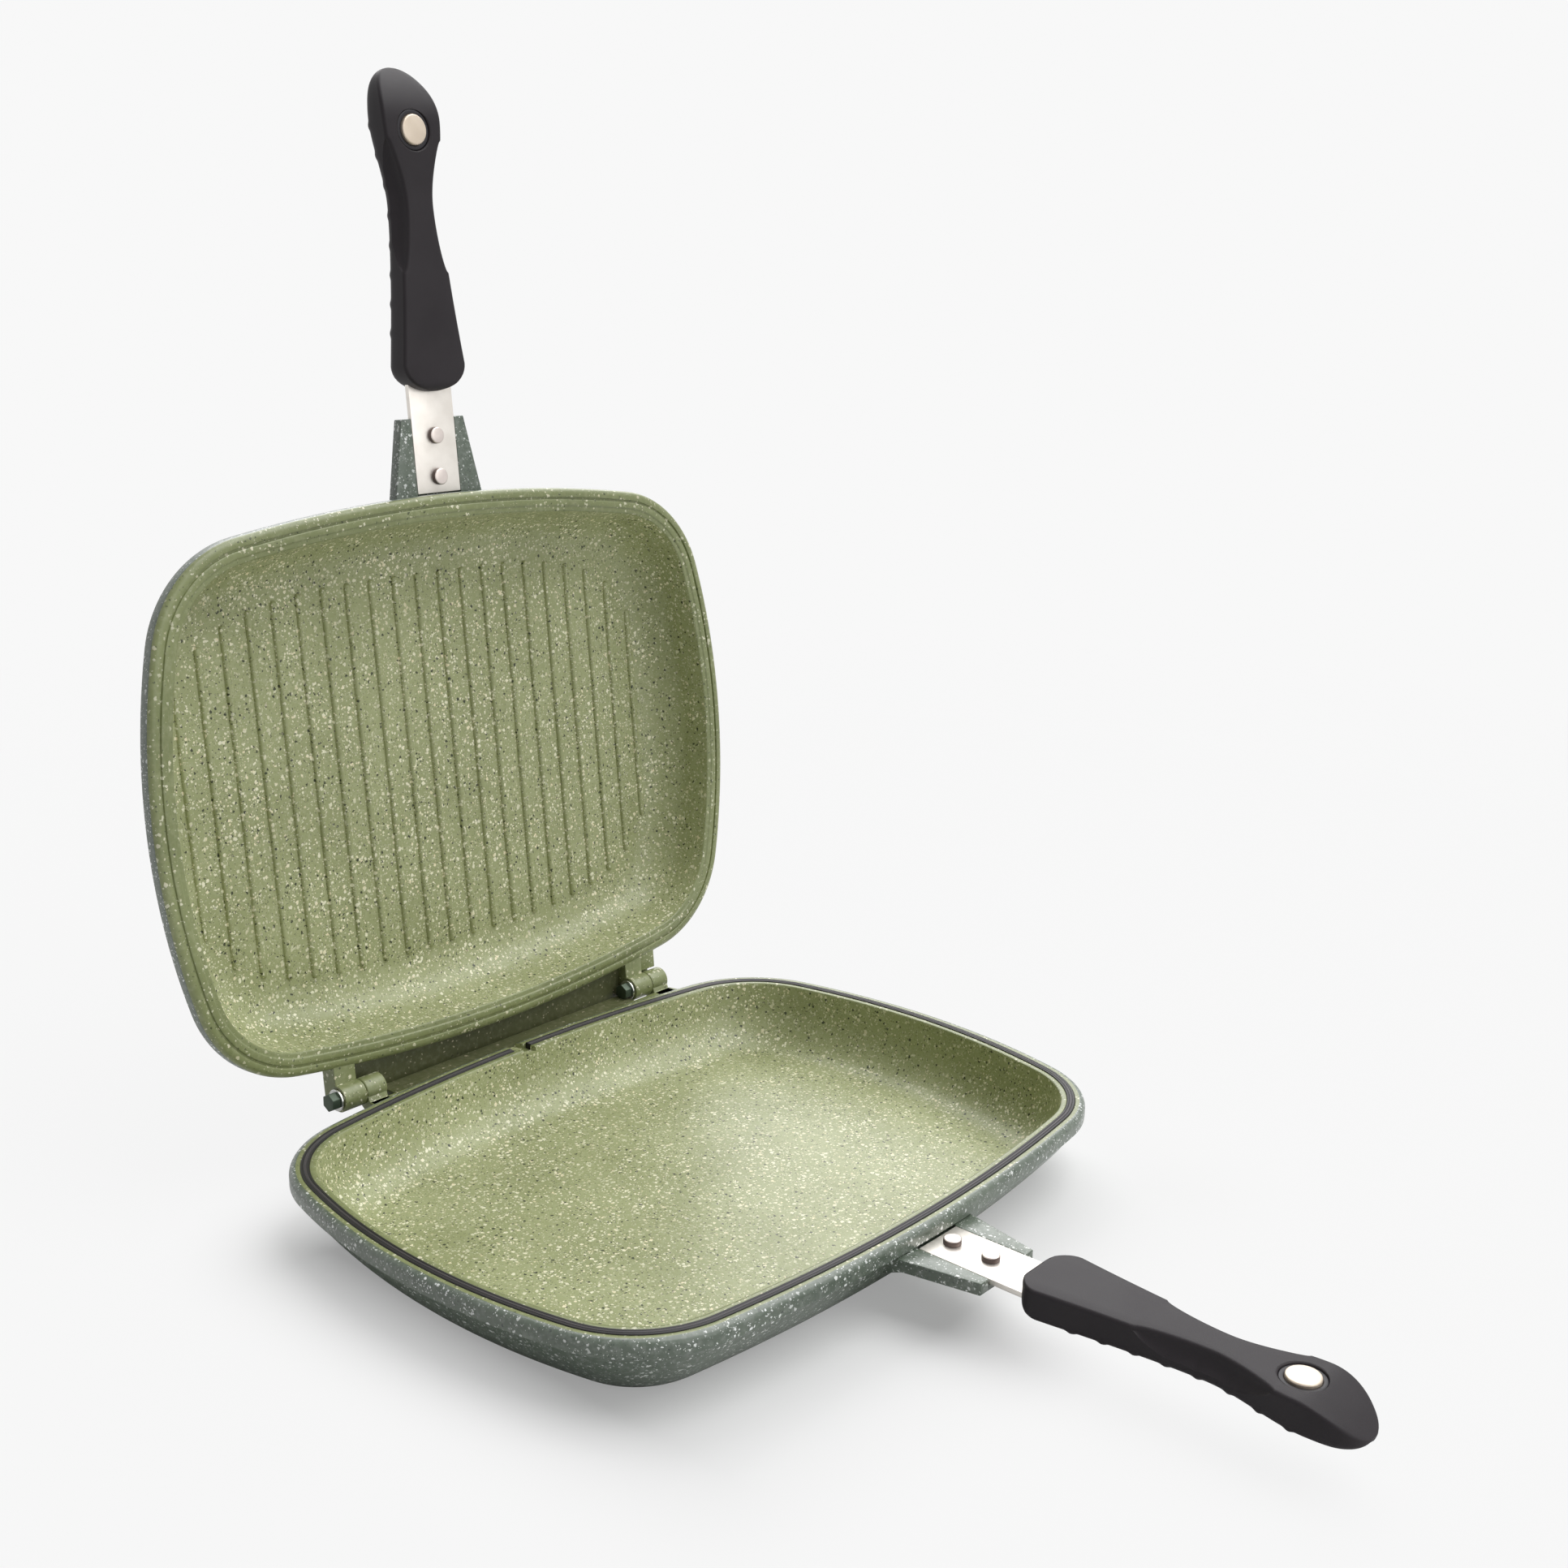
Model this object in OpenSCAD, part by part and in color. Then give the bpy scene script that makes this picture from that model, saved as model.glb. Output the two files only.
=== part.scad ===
/* [Pan halves] */
// Length of each half over its rim, along the hinge line
pan_len = 320; // [300:1:340]
// Width of each half over its rim, from the handle side to the hinge side
pan_wid = 240; // [225:1:255]
// Height of each half, from its flat base to its rim
pan_h = 33; // [30:0.5:40]
// Thickness of the flat base under the cooking floor
base_t = 4; // [3:0.5:6]
// Radius of the two long curves of the outline
long_r = 720; // [600:10:900]
// Radius of the two short curves of the outline
short_r = 294; // [250:2:340]
// Radius of the four corners of the outline
corner_r = 52; // [46:1:60]
// Gap between the two rims when the pan is shut
rim_gap = 0.8; // [0.7:0.1:1.5]
// Angle from shut to fully open, where the upper half rests on its stops
open_angle = 96.4; // [85:0.2:105]

/* [Rim and wall] */
// Height of the upright lip round the rim
lip_h = 7; // [6:0.5:9]
// Inset of the wall under the lip
cove_in = 3.2; // [2:0.2:4.5]
// Height of the cove under the lip
cove_h = 1.3; // [0.8:0.1:2]
// Inset of the outside of the wall where it meets the base
base_in = 25; // [22:0.5:28]
// Fullness of the outside of the wall, where 1 is straight
wall_bow = 1.25; // [1.1:0.05:1.6]
// Inset of the inner edge of the rim
rim_w = 10.6; // [9.8:0.2:12]
// Inset of the edge of the cooking floor
floor_in = 34; // [32:0.5:38]
// Fullness of the inside of the wall, where 2 is a quarter ellipse
bowl_bow = 2.2; // [1.8:0.1:2.6]

/* [Seal] */
// Inset of the outer edge of the groove that holds the gasket
groove_in = 4.4; // [4:0.1:4.6]
// Width of the gasket groove
groove_w = 3.6; // [3:0.1:4]
// Depth of the gasket groove
groove_d = 2.5; // [2:0.1:3.5]
// Height of the gasket's crest above the lower rim
gasket_crest = 0.45; // [0.2:0.05:0.5]
// Clearance of the gasket in its groove, each side
gasket_clear = 0.05; // [0.02:0.01:0.1]
// Length of the break in the gasket at the steam vent
vent_break = 9.9; // [8:0.1:14]
// Place of the steam vent along the hinge side
vent_x = -1.35; // [-6:0.05:6]
// Width of the vent cut through the lower rim
vent_w = 6.5; // [4:0.5:7]
// Depth of the vent cut
vent_d = 2.2; // [1.5:0.1:3]
// Slant of the vent cut
vent_slant = 20; // [0:1:30]
// Width of the bead that presses on the gasket
bead_w = 3; // [2:0.1:3.2]
// Depth of the thin groove beside the bead
bead_groove_d = 0.8; // [0.4:0.1:1.2]

/* [Grill ribs] */
// Number of ribs on the floor of the upper half
rib_count = 21; // [11:2:21]
// Distance from one rib to the next
rib_pitch = 12.7; // [10:0.1:12.8]
// Width of a rib
rib_w = 2.6; // [2:0.1:4]
// Height of a rib above the floor
rib_h = 1.5; // [1:0.1:3]
// Half length of the ribbed field
rib_field_x = 133.5; // [131:0.5:140]
// Half width of the ribbed field
rib_field_y = 85.2; // [70:0.1:88]
// Squareness of the ribbed field's corners
rib_field_bow = 3.7; // [2.5:0.1:5]

/* [Handle brackets] */
// Reach of the cast bracket from the rim
bracket_reach = 32.5; // [30:0.5:38]
// Half width of the bracket where it leaves the pan
bracket_root_x = 23.7; // [20:0.1:27]
// Half width of the bracket at its end
bracket_end_x = 17; // [15:0.1:20]
// Thickness of the bracket
bracket_t = 5; // [4.4:0.2:8]
// Depth of the gusset under the root of the bracket
gusset_d = 4.5; // [3:0.5:6]
// Width of the steel strap
strap_w = 23.4; // [20:0.2:26]
// Thickness of the steel strap
strap_t = 2.2; // [1.5:0.1:3]
// Depth of the strap's face below the rim
strap_drop = 7.2; // [7:0.1:9]
// Gap between the rim's lip and the inner end of the strap
strap_gap = 0.4; // [0.2:0.1:2]
// Clearance of the strap in the bracket and in the grip, each side
strap_clear = 0.1; // [0.05:0.05:0.4]
// Width of the tang inside the grip
tang_w = 14; // [10:0.5:15]
// Length of the tang inside the grip
tang_len = 74; // [60:1:90]
// Length of strap that keeps its full width inside the grip
tang_shoulder = 6; // [3:0.5:8]
// Distance from the rim to the rivet nearer the pan
rivet_1 = 7.3; // [6.5:0.1:9]
// Distance from one rivet to the other
rivet_pitch = 17.6; // [14:0.2:19]
// Diameter of a rivet's head
rivet_head_d = 8; // [6.5:0.1:9]
// Height of a rivet's head
rivet_head_h = 3; // [2:0.1:4]
// Diameter of a rivet's shank
rivet_d = 5; // [4:0.1:5.5]
// Thickness of a rivet's closed tail
rivet_tail_h = 1.6; // [1:0.1:2.5]

/* [Grips] */
// Distance from the rim to the front of the grip
grip_start = 43.5; // [40:0.5:50]
// Length of the grip
grip_len = 133; // [126:1:145]
// Width of the grip at its front
grip_front_w = 33; // [30:0.5:38]
// Width of the grip at its waist
grip_waist_w = 21.2; // [20:0.2:26]
// Width of the grip round the magnet
grip_tail_w = 30; // [27:0.5:36]
// Depth of the grip's flat face below the rim
grip_drop = 1.4; // [0.8:0.1:3]
// Thickness of the grip at its front
grip_front_t = 13.3; // [12:0.1:16]
// Thickness of the grip at its waist
grip_waist_t = 12.2; // [11.4:0.1:15]
// Thickness of the grip near its tip
grip_tail_t = 14.2; // [12:0.1:16]
// Depth of the finger scoop in each side of the grip
scoop_d = 3.4; // [2:0.1:3.6]
// Height of the finger scoop
scoop_h = 9; // [5:0.5:9.5]
// Height of a finger ridge on the outer face
ridge_h = 0.6; // [0.3:0.1:1]
// Distance from the last finger ridge to the grip's tip
ridge_end = 24; // [22:0.5:30]
// Number of finger ridges
ridge_count = 8; // [3:1:8]

/* [Grip screws] */
// Diameter of a grip screw's thread
screw_d = 4; // [3:0.1:5]
// Diameter of a grip screw's head
screw_head_d = 7.4; // [6.5:0.1:9]
// Height of a grip screw's head
screw_head_h = 2.4; // [2:0.1:3]
// Depth of the screw head below the grip's outer face
screw_sink = 1; // [0.5:0.1:1.4]
// Distance from the front of the grip to the screw
screw_at = 31; // [29:0.5:34]

/* [Magnets] */
// Diameter of a magnet
magnet_d = 12.5; // [10:0.1:14]
// Thickness of a magnet
magnet_t = 4; // [3:0.1:5]
// Height of the magnet's face above the grip's flat face
magnet_proud = 0.7; // [0.3:0.1:1]
// Outer diameter of the holder round a magnet
holder_d = 16.6; // [15.6:0.1:18]
// Depth of the holder's rim below the grip's flat face
holder_sink = 0.6; // [0.3:0.1:1]
// Thickness of the holder's floor
holder_floor = 1.2; // [0.8:0.1:2]
// Distance from the grip's tip to the centre of the magnet
magnet_in = 26.1; // [24:0.1:29]
// Clearance of a magnet in its holder, and of a holder in its grip
magnet_clear = 0.05; // [0.02:0.01:0.1]

/* [Hinge] */
// Distance from the rim to the hinge axis
hinge_out = 7; // [6.9:0.1:9]
// Half the distance between the upper half's two knuckles
hinge_x = 86.2; // [70:0.2:90]
// Radius of a knuckle
knuckle_r = 5.7; // [5:0.1:5.9]
// Length of each of the upper half's knuckles
upper_knuckle_len = 11; // [9:0.5:13]
// Length of each of the lower half's knuckles
lower_knuckle_len = 10.5; // [9:0.5:11]
// Free play between parts that turn past each other
play = 0.3; // [0.25:0.05:0.5]
// Gap that turning plates keep from a knuckle
knuckle_gap = 0.5; // [0.4:0.1:0.8]
// Diameter of a hinge pin
pin_d = 5; // [4:0.1:6]
// Running clearance of a pin in the upper half's knuckle, on the radius
pin_clear = 0.05; // [0.02:0.01:0.1]
// Clearance of a pin where the lower half holds it, on the radius
pin_seat_clear = 0.02; // [0.01:0.01:0.05]
// Wall left at the closed end of the lower half's knuckle
knuckle_end = 2.5; // [2:0.5:4]
// Width across the flats of a pin's head
pin_head_w = 8; // [7:0.1:9]
// Length of a pin's head
pin_head_len = 4.4; // [3:0.1:5]
// Diameter of the washer under a pin's head
washer_d = 9.6; // [9:0.1:10.5]
// Thickness of the washer
washer_t = 1; // [0.8:0.1:1.5]
// Thickness of the web between the upper half's lugs
web_t = 3.3; // [2.5:0.1:4]
// Reach of the web behind the hinge axis
web_reach = 6; // [5.5:0.1:7]
// Reach of the right lug past the end of its knuckle
lug_extra = 8.8; // [6:0.2:9]
// Distance from the hinge axis to the rear edge of the lower half's shelf
shelf_back = 6.2; // [6.2:0.1:6.8]
// Depth of the shelf's top below the floor of the gasket groove
shelf_under = 0.2; // [0.1:0.1:1]
// Thickness of the shelf
shelf_t = 4; // [3:0.5:6]
// Half the distance between the two stops
stop_x = 50; // [30:1:60]
// Width of a stop
stop_w = 6; // [4:0.5:9]
// Thickness of a stop at its end
stop_t = 5; // [4:0.5:7]

/* [Hidden] */
$fn = 96;
small = 0.01;                    // how far a cut runs past the face that it opens

// The outline: a long curve, a short curve and the corner that touches both
half_l = pan_len / 2;
half_w = pan_wid / 2;
long_c = [0, half_w - long_r];
short_c = [half_l - short_r, 0];
to_long = long_r - corner_r;
to_short = short_r - corner_r;
centre_gap = norm(short_c - long_c);
along = (to_long * to_long - to_short * to_short + centre_gap * centre_gap) / (2 * centre_gap);
across = sqrt(to_long * to_long - along * along);
line = (short_c - long_c) / centre_gap;
corner_c = long_c + line * along + [line[1], -line[0]] * across;
turn_long = atan2(corner_c[1] - long_c[1], corner_c[0]);      // where the long curve ends
turn_short = atan2(corner_c[1], corner_c[0] - short_c[0]);    // where the short curve ends

// Heights, measured down from the rim
floor_z = base_t - pan_h;
wall_top_z = -lip_h - cove_h;
wall_steps = 6;

// The handle side, measured out from the middle of the pan
front_y = -half_w;
strap_z = -strap_drop;
strap_foot_z = strap_z - strap_t;
bracket_end_y = front_y - bracket_reach;
bracket_foot_z = strap_z - bracket_t;
bracket_in_y = front_y + 10;     // the bracket's root lies inside the wall
strap_in_y = front_y - strap_gap;
grip_y = front_y - grip_start;
cast_round = 1;                  // rounding of the bracket's upright edges
rivet_ys = [front_y - rivet_1, front_y - rivet_1 - rivet_pitch];

// The grip, measured along its length from its front
grip_z = -grip_drop;
widest_s = 11;
waist_s = grip_len - 56;
tail_s = grip_len - 22;
bend_s = grip_len - 23;          // where the flat face starts to curve away
scoop_s = [49, grip_len - 30];
ridge_s = 25;
ridge_pitch = (grip_len - ridge_end - ridge_s) / (ridge_count - 1);
ridge_half = 1.6;
tip_z = grip_z - grip_tail_t + 3;
screw_y = grip_y - screw_at;
screw_clear = 0.1;
screw_top_z = strap_z + 4;
screw_seat_z = grip_foot(screw_at) + screw_sink + screw_head_h;
holder_wall_z = grip_z - holder_sink;
magnet_z = grip_z + magnet_proud;
magnet_y = grip_y - grip_len + magnet_in;
holder_foot_z = magnet_z - magnet_t - holder_floor;

// The hinge axis, and the places of its parts along it
hinge_y = half_w + hinge_out;
hinge_z = rim_gap / 2;
knuckle_spots = [-hinge_x, hinge_x];
upper_half_len = upper_knuckle_len / 2;
web_z = hinge_z - knuckle_r - knuckle_gap;
web_foot_z = web_z - web_t;
lug_z = hinge_z - 1;             // the lug's face, a little below the hinge axis
shelf_z = -groove_d - shelf_under;
knuckle_end_round = 0.8;         // rounding of a lower knuckle's free end
knuckle_facets = 48;
washer_start = -upper_half_len - play - washer_t;
pin_tip = upper_half_len + play + lower_knuckle_len - knuckle_end;
wall_root_y = half_w - 9;        // lugs and stops grow out of the wall from here

// ---- Curves that both halves share ----

function arch(u, bow) = pow(1 - pow(1 - u, bow), 1 / bow);

function slope(inset_a, z_a, inset_b, z_b, bow) =
    [for (i = [0 : wall_steps]) let (u = i / wall_steps, c = 1 - pow(1 - u, 2))
        [inset_a + (inset_b - inset_a) * c, z_a + (z_b - z_a) * arch(c, bow)]];

function outside() = concat(
    reversed(slope(cove_in, wall_top_z, base_in, -pan_h, wall_bow)),
    [[cove_in * 0.5, -lip_h - cove_h * 0.35], [0, -lip_h], [0, -3], [0.35, -1.6], [1.2, -0.5], [2.6, 0]]);

function inside() = slope(rim_w, -1, floor_in, floor_z, bowl_bow);

function reversed(list) = [for (i = [len(list) - 1 : -1 : 0]) list[i]];

groove_out = groove_in + groove_w;
bead_in = groove_in + 0.8;

lower_rim = [[groove_in - 0.3, 0], [groove_in, -0.3], [groove_in, -groove_d], [groove_out, -groove_d],
    [groove_out, -0.3], [groove_out + 0.3, 0], [rim_w - 0.8, 0], [rim_w - 0.4, -0.2]];

upper_rim = [[bead_in - 1.3, 0], [bead_in - 1, -0.3], [bead_in - 1, -bead_groove_d],
    [bead_in, -bead_groove_d], [bead_in, -0.3], [bead_in + 0.5, 0], [bead_in + bead_w - 0.5, 0],
    [bead_in + bead_w, -0.3], [bead_in + bead_w + 0.5, -0.5], [rim_w - 0.4, -0.5]];

gasket_section = [[groove_out - gasket_clear, -groove_d], [groove_in + gasket_clear, -groove_d],
    [groove_in + gasket_clear, 0.1], [groove_in + 0.5, gasket_crest - 0.1],
    [groove_in + 1.1, gasket_crest - 0.1], [groove_in + 1.3, gasket_crest - 0.3],
    [groove_in + 1.5, gasket_crest], [groove_out - 1.5, gasket_crest],
    [groove_out - 1.3, gasket_crest - 0.3], [groove_out - 1.1, gasket_crest - 0.1],
    [groove_out - 0.5, gasket_crest - 0.1], [groove_out - gasket_clear, 0.1]];

// The outline at an inset, as points on its arcs, counterclockwise from the +X side
function arc_points(centre, radius, from, to, steps) =
    [for (i = [0 : steps - 1]) let (a = from + (to - from) * i / steps)
        centre + radius * [cos(a), sin(a)]];

function quarter(inset) = concat(
    arc_points(short_c, short_r - inset, 0, turn_short, 3),
    arc_points(corner_c, corner_r - inset, turn_short, turn_long, 5),
    arc_points(long_c, long_r - inset, turn_long, 90, 3));

function outline_at(inset) = let (q = quarter(inset), top = [0, half_w - inset]) concat(
    q, [top], [for (p = reversed(q)) [-p[0], p[1]]],
    [for (i = [1 : len(q) - 1]) [-q[i][0], -q[i][1]]], [-top],
    [for (i = [len(q) - 1 : -1 : 1]) [q[i][0], -q[i][1]]]);

function rings_of(section) = [for (s = section) for (p = outline_at(s[0])) [p[0], p[1], s[1]]];

function bands(n, pairs) = [for (pair = pairs, i = [0 : n - 1])
    let (k = (i + 1) % n, a = pair[0] * n, b = pair[1] * n)
        each [[a + i, b + i, b + k], [a + i, b + k, a + k]]];

// A closed section of inset and height, swept round the whole outline
module ring_round(section) {
    m = len(section);
    polyhedron(rings_of(section),
        bands(len(outline_at(0)), [for (j = [0 : m - 1]) [j, (j + 1) % m]]));
}

// The skin of a half: from its base up the outside, over the rim and down to the cooking floor
module shell(rim) {
    section = concat(outside(), rim, inside());
    m = len(section);
    n = len(outline_at(0));
    polyhedron(rings_of(section), concat(bands(n, [for (j = [0 : m - 2]) [j, j + 1]]),
        [[for (i = [0 : n - 1]) i]], [[for (i = [n - 1 : -1 : 0]) (m - 1) * n + i]]));
}

// The lower half stands on its base, and the upper half is its mirror image, swung open
module place_lower() {
    translate([0, 0, pan_h]) children();
}

module place_upper() {
    translate([0, hinge_y, pan_h + hinge_z]) rotate([-open_angle, 0, 0])
        translate([0, -hinge_y, rim_gap / 2]) mirror([0, 0, 1]) children();
}

// ---- Handle side ----

module strap_plan(grow, from_y) {
    half = strap_w / 2 + grow;
    tang = tang_w / 2 + grow;
    shoulder_y = grip_y - tang_shoulder - grow;
    end_y = grip_y - tang_len - grow;
    polygon([[-half, from_y], [-half, shoulder_y], [-tang, shoulder_y - 4], [-tang, end_y],
        [tang, end_y], [tang, shoulder_y - 4], [half, shoulder_y], [half, from_y]]);
}

// An upright post with rounded edges, for the corners of cast shapes
module post(x, y, foot_z, top_z) {
    translate([x, y, foot_z]) cylinder(r = cast_round, h = top_z - foot_z, $fn = 8);
}

module bracket() {
    end_x = bracket_end_x - cast_round;
    root_x = bracket_root_x - cast_round;
    inner_x = strap_w / 2;
    end_y = bracket_end_y + cast_round;
    difference() {
        union() {
            for (side = [-1, 1]) hull() {
                post(side * root_x, front_y + 1.5, bracket_foot_z, strap_z);
                post(side * root_x, bracket_in_y, bracket_foot_z, strap_z);
                post(side * inner_x, bracket_in_y, bracket_foot_z, strap_z);
                post(side * inner_x, end_y, bracket_foot_z, strap_z);
                post(side * end_x, end_y, bracket_foot_z, strap_z);
            }
            hull() for (side = [-1, 1]) {
                post(side * inner_x, bracket_in_y, bracket_foot_z, strap_foot_z + 0.5);
                post(side * inner_x, end_y, bracket_foot_z, strap_foot_z + 0.5);
            }
            hull() for (side = [-1, 1]) {
                post(side * root_x, bracket_in_y, bracket_foot_z - gusset_d, bracket_foot_z + 1);
                post(side * root_x, front_y - 1, bracket_foot_z, bracket_foot_z + 1);
            }
        }
        translate([0, 0, strap_foot_z]) linear_extrude(strap_t + small)
            strap_plan(strap_clear, front_y + cove_in + 0.4);
        for (y = rivet_ys) translate([0, y, bracket_foot_z - small])
            cylinder(d = rivet_d, h = bracket_t);
    }
}

module strap() {
    difference() {
        translate([0, 0, strap_foot_z]) linear_extrude(strap_t) strap_plan(0, strap_in_y);
        for (y = rivet_ys) translate([0, y, strap_foot_z - small])
            cylinder(d = rivet_d, h = strap_t + 2 * small);
        translate([0, screw_y, strap_foot_z - small])
            cylinder(d = screw_d + 2 * screw_clear, h = strap_t + 2 * small);
    }
}

module rivet(y) {
    head_r = rivet_head_d / 2;
    translate([0, y, 0]) rotate_extrude()
        polygon([[0, strap_z + rivet_head_h], [head_r * 0.6, strap_z + rivet_head_h - 0.15],
            [head_r - 0.4, strap_z + rivet_head_h - 0.4], [head_r, strap_z + rivet_head_h - 0.9],
            [head_r, strap_z], [rivet_d / 2, strap_z], [rivet_d / 2, bracket_foot_z],
            [head_r - 0.3, bracket_foot_z], [head_r - 0.8, bracket_foot_z - rivet_tail_h],
            [0, bracket_foot_z - rivet_tail_h]]);
}

// ---- The grip, as a run of cross-sections along its length ----

function ease(u) = u * u * (3 - 2 * u);
function within(v, a, b) = min(max((v - a) / (b - a), 0), 1);

function grip_half_w(s) =
    s < widest_s ? grip_front_w / 2 * sqrt(1 - pow((widest_s - s) / widest_s, 2))
    : s < waist_s ? grip_waist_w / 2 + (grip_front_w - grip_waist_w) / 2
        * pow(1 - within(s, widest_s, waist_s), 1.5)
    : s < tail_s ? grip_waist_w / 2 + (grip_tail_w - grip_waist_w) / 2 * ease(within(s, waist_s, tail_s))
    : grip_tail_w / 2 * pow(1 - pow(within(s, tail_s, grip_len), 2.2), 1 / 2.2);

function scoop_share(s) = sqrt(sin(180 * within(s, scoop_s[0], scoop_s[1])));

function grip_top(s) = grip_z
    - (s < 3 ? 2.6 * pow(1 - s / 3, 2) : 0)
    - (grip_z - tip_z) * pow(within(s, bend_s, grip_len), 2);

function ridge(s) = max([for (k = [0 : ridge_count - 1])
    abs(s - ridge_s - k * ridge_pitch) < ridge_half * 0.75 ? ridge_h : 0]);

function grip_foot(s) = let (
    t_long = s < waist_s
        ? grip_front_t + (grip_waist_t - grip_front_t) * ease(within(s, widest_s, waist_s))
        : grip_waist_t + (grip_tail_t - grip_waist_t) * ease(within(s, waist_s, grip_len - 8)),
    front = 6 * (1 - sqrt(1 - pow(1 - within(s, 0, 7), 2))),
    tail = (grip_tail_t - (grip_z - tip_z)) * (1 - sqrt(1 - pow(within(s, grip_len - 10, grip_len), 2))))
    grip_z - t_long + front + tail - ridge(s);

function grip_ring(s) = let (
    w = max(grip_half_w(s), 1.2), top = grip_top(s), foot = min(grip_foot(s), top - 1),
    deep = top - foot, edge = min(1.8, w / 3, deep / 5), round = min(5, w / 2.2, deep / 2.6),
    cut = scoop_d * scoop_share(s), low = max(edge + 0.4, scoop_h * scoop_share(s)),
    inner = w - 0.3 - cut,
    side = [[inner - edge, top], [inner - edge * 0.3, top - edge * 0.3], [inner, top - edge],
        [w, min(top - edge - 0.2, top - min(low, deep - round - 0.2))],
        [w, foot + round], [w - round * 0.3, foot + round * 0.3], [w - round, foot + 0.05],
        [w * 0.35, foot - 0.3]])
    [for (p = concat(side, [for (q = reversed(side)) [-q[0], q[1]]])) [p[0], -s, p[1]]];

grip_stations = concat(
    [0.15, 0.8, 2, 4, 7, widest_s, 17],
    [for (k = [0 : ridge_count - 1], d = [-1, -0.7, 0.7, 1]) ridge_s + k * ridge_pitch + d * ridge_half],
    [for (d = [18, 14, 10.5, 7.5, 5, 2.8, 1.2, 0.25]) grip_len - d]);

module grip_body() {
    rings = [for (s = grip_stations) grip_ring(s)];
    n = len(rings[0]);
    m = len(rings);
    points = [for (r = rings) for (p = r) p];
    walls = [for (i = [0 : m - 2], j = [0 : n - 1]) let (a = i * n + j, b = i * n + (j + 1) % n)
        each [[a, a + n, b], [b, a + n, b + n]]];
    polyhedron(points, concat(walls,
        [[for (j = [0 : n - 1]) j]], [[for (j = [n - 1 : -1 : 0]) (m - 1) * n + j]]));
}

module grip() {
    difference() {
        translate([0, grip_y, 0]) grip_body();
        translate([0, 0, strap_foot_z - strap_clear]) linear_extrude(strap_t + 2 * strap_clear)
            strap_plan(strap_clear, grip_y + 1);
        translate([0, screw_y, grip_z - grip_front_t - 5])
            cylinder(d = screw_head_d + 0.4, h = 5 + grip_front_t + screw_seat_z - grip_z);
        translate([0, screw_y, screw_seat_z - small])
            cylinder(d = screw_d + 2 * screw_clear, h = screw_top_z - screw_seat_z + 0.5);
        translate([0, magnet_y, holder_foot_z])
            cylinder(d = holder_d + 2 * magnet_clear, h = grip_z - holder_foot_z + 1);
    }
}

module grip_screw() {
    translate([0, screw_y, 0]) difference() {
        union() {
            translate([0, 0, screw_seat_z - screw_head_h]) cylinder(d = screw_head_d, h = screw_head_h);
            translate([0, 0, screw_seat_z - small])
                cylinder(d = screw_d, h = screw_top_z - screw_seat_z + small);
        }
        translate([0, 0, screw_seat_z - screw_head_h - small]) {
            translate([-0.5, -screw_head_d * 0.34, 0]) cube([1, screw_head_d * 0.68, 1.2]);
            translate([-screw_head_d * 0.34, -0.5, 0]) cube([screw_head_d * 0.68, 1, 1.2]);
        }
    }
}

module magnet_holder() {
    translate([0, magnet_y, 0]) difference() {
        translate([0, 0, holder_foot_z]) cylinder(d = holder_d, h = holder_wall_z - holder_foot_z);
        translate([0, 0, holder_foot_z + holder_floor])
            cylinder(d = magnet_d + 2 * magnet_clear, h = magnet_t);
    }
}

module magnet() {
    r = magnet_d / 2;
    foot = magnet_z - magnet_t;
    translate([0, magnet_y, 0]) rotate_extrude()
        polygon([[0, foot], [r, foot], [r, magnet_z - 0.5], [r - 0.15, magnet_z - 0.15],
            [r - 0.5, magnet_z], [0, magnet_z]]);
}

// ---- Hinge side ----

module along_axis(from, to) {
    translate([from, hinge_y, hinge_z]) rotate([90, 0, 90]) linear_extrude(to - from) children();
}

module across_wall(from, to, outline) {
    translate([from, 0, 0]) rotate([90, 0, 90]) linear_extrude(to - from) polygon(outline);
}

module pin_hole(clear, from, to) {
    translate([from, hinge_y, hinge_z]) rotate([0, 90, 0])
        cylinder(r = pin_d / 2 + clear, h = to - from);
}

// A block with its root inside the wall, from one height to another
module root_block(from, to, foot_z, top_z, reach_y) {
    translate([from, wall_root_y, foot_z]) cube([to - from, reach_y - wall_root_y, top_z - foot_z]);
}

module lower_knuckle(x) {
    from = x + upper_half_len + play;
    to = from + lower_knuckle_len;
    difference() {
        union() {
            hull() {
                along_axis(from, to - knuckle_end_round) circle(r = knuckle_r, $fn = knuckle_facets);
                along_axis(from, to) circle(r = knuckle_r - knuckle_end_round, $fn = knuckle_facets);
            }
            hull() {
                along_axis(from, to - knuckle_end_round) intersection() {
                    circle(r = knuckle_r - 0.3, $fn = knuckle_facets);
                    translate([-knuckle_r, -knuckle_r]) square([knuckle_r * 1.3, knuckle_r]);
                }
                root_block(from, to - knuckle_end_round, shelf_z - shelf_t - 2.5, shelf_z,
                    hinge_y - shelf_back);
            }
        }
        pin_hole(pin_seat_clear, from - 1, x + pin_tip + 0.2);
    }
}

module shelf() {
    left = -hinge_x + upper_half_len + play;
    right = hinge_x + upper_half_len + play + lower_knuckle_len;
    hull() {
        root_block(left, right, shelf_z - shelf_t, shelf_z, hinge_y - shelf_back);
        translate([right, wall_root_y - 2, shelf_z - shelf_t]) cube([3, 2, shelf_t]);
    }
}

// A point behind the axis in the shut pan, where the swing to fully open takes it
function swung(p) = [hinge_y + p[0] * cos(open_angle) + p[1] * sin(open_angle),
    hinge_z - p[0] * sin(open_angle) + p[1] * cos(open_angle)];

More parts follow.
